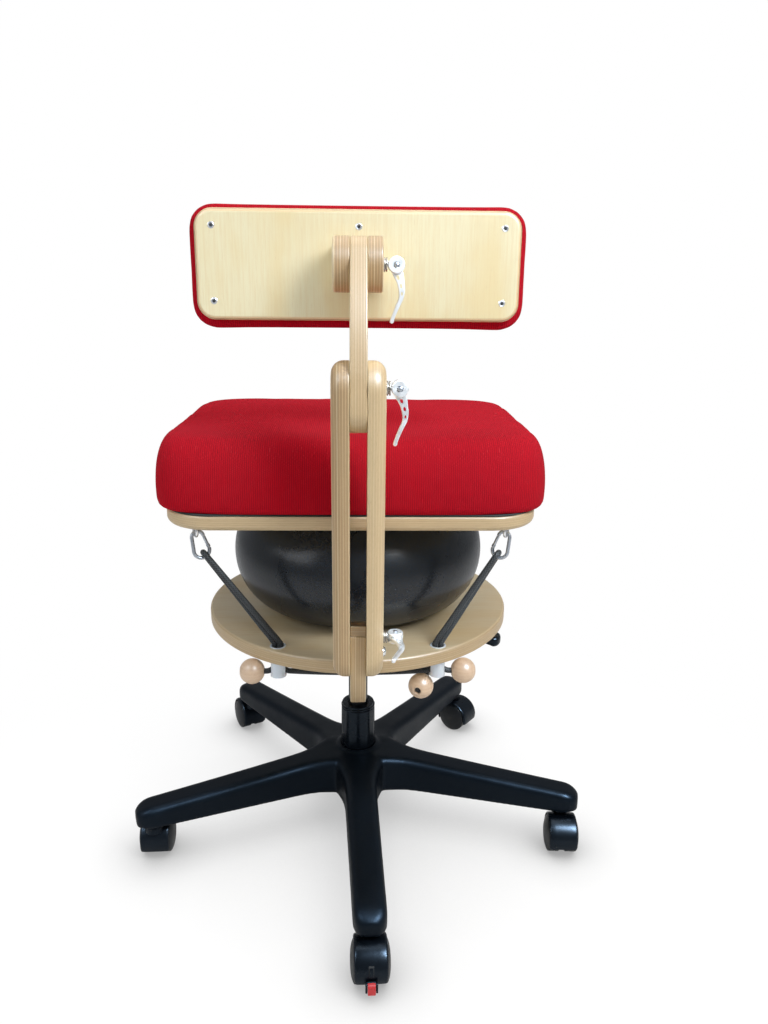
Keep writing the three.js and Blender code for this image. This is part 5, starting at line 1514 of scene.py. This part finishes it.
def puff(cushion, voxel, keep_flat):
    """Remeshes the pad, runs the cloth and keeps a capped share of how far each point moved."""
    modify(cushion, "even", "REMESH", mode="VOXEL", voxel_size=voxel)
    bake_modifiers(cushion)
    mesh = cushion.data
    rest = read(mesh.vertices, "co")
    cloth = cushion.modifiers.new("cover", "CLOTH")
    configure(cloth.settings, quality=4, mass=0.3, tension_stiffness=25, compression_stiffness=25,
              shear_stiffness=12, bending_stiffness=1.5, use_pressure=True, uniform_pressure_force=4)
    cloth.settings.effector_weights.gravity = 0
    cloth.collision_settings.use_collision = False
    configure(cloth.point_cache, frame_start=1, frame_end=CLOTH_FRAMES)
    scene = bpy.context.scene
    for step in range(1, CLOTH_FRAMES + 1):
        scene.frame_set(step)
    swollen = evaluated_mesh(cushion)
    moved = read(swollen.vertices, "co")
    cushion.modifiers.clear()
    bpy.data.meshes.remove(swollen)
    scene.frame_set(1)
    shift = moved - rest
    size = np.linalg.norm(shift, axis=1)
    cap = sizes().cover_swell
    shift *= (cap * np.tanh(size / cap) / np.maximum(size, 1e-9))[:, None]
    shift *= keep_flat(rest)[:, None]
    rest = rest + shift
    mesh.vertices.foreach_set("co", rest.ravel())
    mesh.update()
    modify(cushion, "calm", "SMOOTH", factor=0.5, iterations=4)
    modify(cushion, "finer", "SUBSURF", levels=1, render_levels=1)
    bake_modifiers(cushion)
    cushion.data.shade_smooth()


def chart_knit(cushion, spec):
    """The knit's own map: round the walls by distance run, and straight across the top."""
    mesh = cushion.data
    to_plan = spec["to_plan"](read(mesh.vertices, "co"))
    chart = mesh.uv_layers.new(name="knit")
    corner_vertex = read(mesh.loops, "vertex_index", 1, int)
    normals = spec["to_plan"](read(mesh.polygons, "normal") + np.array(spec["origin"]))
    starts = read(mesh.polygons, "loop_start", 1, int)
    lengths = read(mesh.polygons, "loop_total", 1, int)
    coords = np.empty((len(mesh.loops), 2))
    sideways = np.abs(normals[:, 0]) > 0.72
    for face, (start, length) in enumerate(zip(starts, lengths)):
        loops = slice(start, start + length)
        vertices = corner_vertex[loops]
        if sideways[face]:
            u = to_plan[vertices, 1]
            v = to_plan[vertices, 2]
        else:
            u = to_plan[vertices, 0]
            v = to_plan[vertices, 1] + to_plan[vertices, 2] * np.sign(to_plan[vertices, 1])
        coords[loops, 0] = u
        coords[loops, 1] = v
    chart.data.foreach_set("uv", coords.ravel())


def seat_cushion():
    low = BOARD_TOP + CLEARANCE
    origin = at(SEAT_X, SEAT_Y, low)

    def place(u, v, w):
        return at(SEAT_X + u, SEAT_Y + v, low + w)

    def to_plan(points):
        return points - np.array(origin)

    def keep_flat(points):
        height = points[:, 2] - origin.z
        return np.clip((height - 0.002) / 0.02, 0, 1)

    spec = {"half": (239.2, 202.2), "power": 6.6, "height": 83.5, "crown": 3.5, "foot": (5, 26),
            "roll": (19, 58), "lean": 1.9, "belly": 0.6, "voxel": 0.0052, "to_plan": to_plan,
            "origin": tuple(origin)}
    cushion = pad("seat_cushion_cover", spec, place, keep_flat)
    settle(cushion, "seat", "red_knit", "seat_cushion")


def back_cushion():
    near, middle = PANEL_FRONT + CLEARANCE, KNUCKLE[1] - 3
    origin = at(0, near, middle)

    def place(u, v, w):
        return at(u, near + w, middle - v)

    def to_plan(points):
        moved = points - np.array(origin)
        return np.stack([moved[:, 0], -moved[:, 2], moved[:, 1]], axis=1)

    def keep_flat(points):
        depth = points[:, 1] - origin.y
        return np.clip((depth - 0.001) / 0.012, 0, 1)

    spec = {"half": (184.9, 66.2), "power": 7.0, "corner": 27, "lean": 1.0, "height": 37, "crown": 5.5,
            "foot": (3.0, 10), "roll": (12, 22), "belly": 0.6, "voxel": 0.0042, "to_plan": to_plan,
            "origin": tuple(origin)}
    cushion = pad("back_cushion_cover", spec, place, keep_flat)
    settle(cushion, "back", "red_knit", "back_cushion")


# ---- uprights, arm, knuckle and clamps ----

def stadium(start, end, radius, steps=24):
    lean = math.degrees(math.atan2(end[1] - start[1], end[0] - start[0]))
    return (arc(start, radius, lean + 90, lean + 270, steps) + arc(end, radius, lean - 90, lean + 90, steps))


def pocket(place, size):
    """A round pocket at a place, from its radius and depth."""
    return circle(place, size[0]), size[1]


def uprights():
    for name, side in (("left", -1), ("right", 1)):
        # The right upright is paler, with fainter stripes, than the left: partly painted light for its lit
        # side, partly a difference between the two boards.
        tone_and_shade, lines = (0.1, 0.35) if side > 0 else (0.25, 1.25)
        ply = plywood(f"upright_{name}_plywood", 0, side * (GAP + UPRIGHT / 2), UPRIGHT, 2, tone_and_shade, lines)
        pockets = [] if side > 0 else [pocket(PIVOT, BOLT_POCKET), pocket(skewer_place(), SKEWER_POCKET),
                                       pocket(ARM_PIVOT, SKEWER_POCKET)]
        piece = board("upright_board_" + name, stadium(PIVOT, ARM_PIVOT, UPRIGHT_RADIUS),
                      rounded_edge(UPRIGHT, 1.0, 13.0, 9), upright_plane(GAP, side), ply, pockets=pockets)
        settle(piece, "uprights", "birch_ply", "upright_" + name)
    outer = GAP + UPRIGHT
    place = at(0, *PIVOT)
    head = lathe("bolt_head", [(0, outer + 4.2), (2.0, outer + 4.1), (4.4, outer + 3.0), (5.8, outer + 1.1),
                               (6.0, outer + 0.3), (3.9, outer + 0.3), (3.9, -outer + 4), (0, -outer + 4)],
                 place, X, "steel", 48, crease=40)
    nut = lathe("bolt_nut", [(0, -outer + 1), (5.3, -outer + 1), (6, -outer + 1.8), (6, -outer + 5),
                             (0, -outer + 5)], place, X, "satin", 48, flats=6, flat_depth=0.75)
    settle(merge("pivot_bolt_steel", [head, nut]), "uprights", "steel", "pivot_bolt")


def skewer_place():
    line = Vector((ARM_PIVOT[0] - PIVOT[0], ARM_PIVOT[1] - PIVOT[1])).normalized()
    spot = Vector(PIVOT) + line * 19.5
    return spot.x, spot.y


def clamp(label, half, y, z, turn, body):
    """A cam clamp: a skewer with its nut, washer and barrel, and a curved lever with windows."""
    lean = Matrix.Rotation(turn, 3, "X")
    cam = half + 14

    def place(u, v, w):
        p = lean @ Vector((0, w, v))
        return at(u, y + p.y, z + p.z)

    centre = at(0, y, z)
    face = half + CLEARANCE
    parts = [
        lathe("washer", [(2.6, face), (7.4, face), (7.4, face + 1.7), (5.8, face + 1.9), (5.8, face + 2.6),
                         (7.4, face + 2.8), (7.4, cam - 9.5), (2.6, cam - 9.5)], centre, X, "dark_steel", 48,
              True, 0.3),
        lathe("shank", [(0, 6 - half), (2.4, 6 - half), (2.4, cam), (0, cam)], centre, X, "satin", 24),
        lathe("nut", [(0, 1.2 - half), (3.4, 1.0 - half), (5.9, 1.3 - half), (6.6, 2.2 - half),
                      (6.6, 8 - half), (0, 8 - half)], centre, X, "satin", 48, flats=6, flat_depth=0.5),
        lathe("pin", [(0, -7.6), (1.6, -7.4), (2.4, -6.9), (2.8, -6.1), (2.8, 6.1), (2.4, 6.9), (1.6, 7.4),
                      (0, 7.6)], place(cam, 0, 0), lean @ Y, "hook_steel", 32),
    ]
    settle(merge(label + "_skewer_steel", parts), body, "steel", label + "_skewer")
    # the blade bows away from the wood and returns to a narrow tip
    ring = arc((0, 0), 9.0, -42, 234, 34)
    left = [(-3.1, -11.8), (0.3, -17.7), (2.5, -26), (2.8, -33.5), (-0.4, -41.2), (-3.4, -49), (-5.7, -55.5)]
    tip = [(-6.2, -58.4), (-4.4, -60), (-2.2, -58.6)]
    right = [(-1.4, -55.2), (1.2, -48.5), (4.5, -41.2), (8.2, -33.2), (9.4, -25), (8.6, -17.7), (7.9, -11.8)]
    blade = smooth_path([Vector((*p, 0)) for p in [ring[-1], *left, *tip, *right, ring[0]]], 4)
    shape = ring + [Vector((p.x, p.y)) for p in blade[1:-1]]
    windows = []
    for across, down, wide, tall, slant in ((1.9, -12.8, 1.6, 2.8, 0.35), (5.2, -21.2, 1.45, 2.5, 0.25),
                                            (6.1, -29.2, 1.1, 1.9, 0.05)):
        turned = Matrix.Rotation(slant, 2)
        windows.append([Vector((across, down)) + turned @ Vector((wide * cos(a), tall * sin(a)))
                        for a in np.linspace(0, tau, 17)[:-1]])
    plate = board("lever_plate", shape, rounded_edge(4.6, 0.9, 0.9, 3),
                  lambda u, v, w: place(cam + u, v, w - 2.3), "lever_steel",
                  holes=[circle((0, 0), 3.2, 32)] + windows)
    cheeks = []
    for way in (-1, 1):
        cheeks.append(lathe("cam_cheek", [(3.15, 2.9), (8.8, 2.9), (8.8, 5.2), (8.0, 6.0), (3.15, 6.0)],
                            place(cam, 0, 0), lean @ (Y * way), "lever_steel", 48, True, 0.4))
    settle(merge(label + "_lever_blade", [plate] + cheeks), label + "_lever", "steel", label + "_lever")


def arm_outline():
    low, high = Vector(ARM_PIVOT), Vector(KNUCKLE)
    along = high - low
    lean = math.degrees(math.atan2(along.y, along.x))
    back = Vector((-sin(radians(lean)), cos(radians(lean))))

    def edge(side):
        points = []
        for s in range(19):
            t = s / 18
            bow = 9 * sin(pi * t) * (1 - 0.2 * t)
            points.append(low.lerp(high, t) + back * (side * (UPRIGHT_RADIUS + 0.5 * t) + bow))
        return points

    foot = low + Vector((0, -18))
    return (edge(1) + arc(high, KNUCKLE_RADIUS, lean + 90, lean - 90, 24)[1:-1] + edge(-1)[::-1]
            + arc(foot, UPRIGHT_RADIUS, 0, -180, 20)[1:-1])


def arm():
    ply = plywood("arm_plywood", 0, 0, PLY, 2, 0.1, 0.6)
    piece = board("arm_board", arm_outline(), rounded_edge(PLY, 1.6, 1.6, 3), upright_plane(-PLY / 2), ply)
    settle(piece, "arm", "birch_ply", "upper_arm")


def cheeks():
    meet = math.degrees(math.asin(CHEEK_HALF / KNUCKLE_RADIUS))
    outline = arc(KNUCKLE, KNUCKLE_RADIUS, meet, 360 - meet, 48)
    outline += [Vector((PANEL_REAR - CLEARANCE, KNUCKLE[1] + rise)) for rise in (-CHEEK_HALF, CHEEK_HALF)]
    for name, side in (("left", -1), ("right", 1)):
        ply = plywood(f"cheek_{name}_plywood", 0, side * (GAP + CHEEK / 2), CHEEK, 2, 0.2, 1.3)
        thick = CHEEK if side > 0 else CHEEK + 2
        piece = board("cheek_block_" + name, outline, rounded_edge(thick, 1.0, 2.2, 4),
                      upright_plane(GAP, side), ply,
                      pockets=[] if side > 0 else [pocket(KNUCKLE, SKEWER_POCKET)])
        settle(piece, "back", "birch_ply", "cheek_" + name)


def back_panel():
    ply = plywood("panel_plywood", 1, (PANEL_REAR + PANEL_FRONT) / 2, PANEL_FRONT - PANEL_REAR, 2, -0.55)
    outline = rounded_rectangle(176, 58, 20, (0, KNUCKLE[1] - 1), 12)
    piece = board("back_panel_ply", outline, rounded_edge(13, 5.2, 0.8, 7),
                  lambda u, v, w: at(u, PANEL_REAR + w, v), ply)
    settle(piece, "back", "birch_ply", "back_panel")
    places = [at(x, PANEL_REAR - 0.35, KNUCKLE[1] + rise)
              for x, rise in ((-157, 39), (0, 39), (157, 39), (-157, -39), (157, -39))]
    turns = [(0, 0.3 * k, 0) for k in range(len(places))]
    # Each screw's socket is a dark hexagon set in its head: painted shade for the socket's recess.
    for name, look, sides, profile in (
            ("panel_screws", "satin", 36,
             [(0, 0.9), (1.6, 0.9), (1.7, 0.1), (2.9, -0.15), (3.6, 0.35), (3.7, 1.2), (0, 1.2)]),
            ("panel_screw_sockets", "hole", 6, [(0, -0.2), (1.9, -0.2), (1.9, 0.95), (0, 0.95)])):
        unit = lathe(name + "_unit", profile, Vector((0, 0, 0)), Y, look, sides, crease=50)
        unit.modifiers.clear()
        settle(spread(name, unit, places, turns, look), "back", "steel")


# ---- studio ----

def camera():
    """The photograph's viewpoint, solved from the gas lift, the disc and the leg tips."""
    pitch, yaw, roll = CAMERA_ANGLES
    ahead = Vector((sin(yaw) * cos(pitch), cos(yaw) * cos(pitch), -sin(pitch)))
    right = Vector((cos(yaw), -sin(yaw), 0))
    up = right.cross(ahead)
    right, up = (right * cos(roll) + up * sin(roll), up * cos(roll) - right * sin(roll))
    lens = configure(bpy.data.cameras.new("photo_camera"), sensor_fit="HORIZONTAL", sensor_width=SENSOR,
                     lens=SENSOR * FOCAL_PIXELS / PHOTO_WIDTH, clip_start=0.05, clip_end=60.0)
    pose = Matrix((right, up, -ahead)).transposed().to_4x4()
    pose.translation = at(*CAMERA_PLACE)
    bpy.context.scene.camera = configure(add_object("photo_camera", lens), matrix_world=pose)


def lamp(name, place, target, size, power, colour=(1, 1, 1)):
    light = configure(bpy.data.lights.new(name, "AREA"), shape="RECTANGLE", size=size[0], size_y=size[1],
                      energy=power, color=colour)
    return configure(add_object(name, light), location=place,
                     rotation_euler=(target - place).to_track_quat("-Z", "Y").to_euler())


def studio():
    half = sizes().floor_size / 2
    corners = [(-half, -half, 0), (half, -half, 0), (half, half, 0), (-half, half, 0)]
    mesh = new_mesh("studio_floor", corners, [(0, 1, 2, 3)])
    floor = add_object("studio_floor", mesh)
    look = bpy.data.materials.new("studio_white")
    look.use_nodes = True
    tree = look.node_tree
    tree.nodes.clear()
    output = tree.nodes.new("ShaderNodeOutputMaterial")
    # near the chair the floor glows white, darkened by a painted contact shadow from ambient occlusion, over
    # a little real light; farther out it is plain white
    place = node(tree, "ShaderNodeTexCoord").outputs["Object"]
    parts = node(tree, "ShaderNodeSeparateXYZ", {0: place})
    flat_place = node(tree, "ShaderNodeCombineXYZ", {0: parts.outputs[0], 1: parts.outputs[1]}).outputs[0]
    away = node(tree, "ShaderNodeVectorMath", {0: flat_place}, operation="LENGTH").outputs["Value"]
    far = remap(tree, away, 0.42, 0.75)
    wide = node(tree, "ShaderNodeAmbientOcclusion", {"Distance": 0.22}, samples=16).outputs["AO"]
    close = node(tree, "ShaderNodeAmbientOcclusion", {"Distance": 0.07}, samples=16).outputs["AO"]
    shade = times(tree, remap(tree, wide, 0.3, 1.0, 0.62, 1.0, smooth=False),
                  remap(tree, close, 0.2, 1.0, 0.6, 1.0, smooth=False))
    paint = node(tree, "ShaderNodeBsdfDiffuse", {"Color": (0.8, 0.8, 0.8, 1)}).outputs[0]
    dull = node(tree, "ShaderNodeBsdfDiffuse", {"Color": (0.12, 0.12, 0.12, 1)}).outputs[0]
    glow = node(tree, "ShaderNodeEmission", {
        "Color": (1, 1, 1, 1), "Strength": times(tree, shade, 0.92)}).outputs[0]
    near = node(tree, "ShaderNodeAddShader", {0: dull, 1: glow}).outputs[0]
    white = node(tree, "ShaderNodeEmission", {"Color": (1, 1, 1, 1), "Strength": 1.0}).outputs[0]
    seen_floor = node(tree, "ShaderNodeMixShader", {0: far, 1: near, 2: white}).outputs[0]
    seen = node(tree, "ShaderNodeLightPath").outputs["Is Camera Ray"]
    mix = node(tree, "ShaderNodeMixShader", {0: seen, 1: paint, 2: seen_floor}).outputs[0]
    tree.links.new(mix, output.inputs[0])
    mesh.materials.append(look)
    world = bpy.data.worlds.new("studio")
    bpy.context.scene.world = world
    world.use_nodes = True
    tree = world.node_tree
    tree.nodes.clear()
    output = tree.nodes.new("ShaderNodeOutputWorld")
    soft = node(tree, "ShaderNodeBackground", {"Color": (0.93, 0.96, 1, 1), "Strength": 0.34}).outputs[0]
    white = node(tree, "ShaderNodeBackground", {"Color": (1, 1, 1, 1), "Strength": 1.0}).outputs[0]
    path = node(tree, "ShaderNodeLightPath")
    seen = maths(tree, "MAXIMUM", path.outputs["Is Camera Ray"], path.outputs["Is Transmission Ray"])
    mix = node(tree, "ShaderNodeMixShader", {0: seen, 1: soft, 2: white}).outputs[0]
    tree.links.new(mix, output.inputs[0])
    middle = at(0, 0, 500)
    lamp("key_light", at(1150, -1150, 1900), middle, (0.9, 0.9), 30, (1.0, 0.98, 0.94))
    lamp("fill_light", at(-1500, -900, 1300), middle, (1.2, 1.2), 9, (0.96, 0.98, 1.0))
    lamp("top_light", at(0, 300, 2400), middle, (1.6, 1.6), 18)
    # two windows that only the glossy surfaces mirror
    for name, place, power in (("window_right", at(1000, -1150, 1950), 150),
                               ("window_left", at(-1150, -1000, 1900), 24)):
        window = lamp(name, place, middle, (0.45, 0.7), power, (0.72, 0.86, 1.0))
        window.visible_diffuse = False
    view = bpy.context.scene.view_settings
    view.view_transform = "Standard"


# ---- operators, panel and registration ----

def operator(idname, label, note, *steps):
    """An operator that makes one group of pieces."""
    def execute(self, context):
        for step in steps:
            step()
        return {"FINISHED"}
    words = "".join(part.title() for part in idname.split("_"))
    return type("CHAIR_OT_" + words, (bpy.types.Operator,), {
        "bl_idname": "chair." + idname, "bl_label": label, "__doc__": note, "execute": execute})


def each_caster(make):
    return lambda: [make(k) for k in range(LEG_COUNT)]


def each_corner(make):
    return lambda: [make(*corner) for corner in CORNERS]


OPERATORS = [
    operator("camera", "Camera", "Sets the camera at the photograph's viewpoint", camera),
    operator("cords", "Elastic cords", "Lays both cords from their balls over the hooks", cords),
    operator("star_base", "Star base", "Moulds the five-legged base", star_base),
    operator("column", "Column", "Makes the ribbed column, its bush and the gas cylinder", column),
    operator("casters", "Casters", "Makes the hoods, the twin wheels and the brake pedal",
             each_caster(caster_hood), each_caster(caster_wheels), brake),
    operator("disc", "Disc", "Makes the round board and its four white tubes", disc),
    operator("bracket", "Bracket", "Makes the board that carries the uprights", bracket),
    operator("lift_fittings", "Lift fittings", "Makes the lift's plate, socket and lever", lift_fittings),
    operator("wooden_balls", "Wooden balls", "Turns the four balls on the cords' ends", wooden_balls),
    operator("exercise_ball", "Exercise ball", "Makes the squashed ball in two halves", exercise_ball),
    operator("seat_board", "Seat board", "Makes the seat's board and dark underlay", seat_board),
    operator("seat_cushion", "Seat cushion", "Fills and covers the seat's cushion", seat_cushion),
    operator("hooks", "Hooks", "Makes the eyes, the wire hooks and their gates",
             each_corner(seat_eye), each_corner(carabiner)),
    operator("uprights", "Uprights", "Makes both uprights and their pivot bolt", uprights),
    operator("arm", "Arm", "Makes the bowed arm", arm),
    operator("backrest", "Backrest", "Makes the cheeks, the panel and its screws", cheeks, back_panel),
    operator("back_cushion", "Back cushion", "Fills and covers the back's cushion", back_cushion),
    operator("clamps", "Clamps", "Makes the three cam clamps with their levers",
             lambda: clamp("tilt", GAP + UPRIGHT, *skewer_place(), TILT_LEVER_TURN, "uprights"),
             lambda: clamp("arm", GAP + UPRIGHT, *ARM_PIVOT, 0.0, "uprights"),
             lambda: clamp("back", GAP + CHEEK, *KNUCKLE, 0.0, "back")),
    operator("studio", "Studio", "Makes the floor, the lights and the world", studio),
]


class CHAIR_PT_Pieces(bpy.types.Panel):
    """Lists the chair's operators with its sizes and colours."""

    bl_label = "Balance ball chair"
    bl_idname = "CHAIR_PT_pieces"
    bl_space_type = "VIEW_3D"
    bl_region_type = "UI"
    bl_category = "Chair"

    def draw(self, context):
        for group in (sizes(), colours()):
            box = self.layout.box()
            for name in group.bl_rna.properties.keys():
                if name not in ("rna_type", "name"):
                    box.prop(group, name)
        for kind in OPERATORS:
            self.layout.operator(kind.bl_idname)


CLASSES = [ChairSizes, ChairColours, *OPERATORS, CHAIR_PT_Pieces]


def register():
    for kind in CLASSES:
        bpy.utils.register_class(kind)
    bpy.types.Scene.chair_sizes = bpy.props.PointerProperty(type=ChairSizes)
    bpy.types.Scene.chair_colours = bpy.props.PointerProperty(type=ChairColours)


def unregister():
    del bpy.types.Scene.chair_colours
    del bpy.types.Scene.chair_sizes
    for kind in reversed(CLASSES):
        bpy.utils.unregister_class(kind)


def main():
    register()
    for kind in OPERATORS:
        group, name = kind.bl_idname.split(".")
        getattr(getattr(bpy.ops, group), name)()


if __name__ == "__main__":
    main()
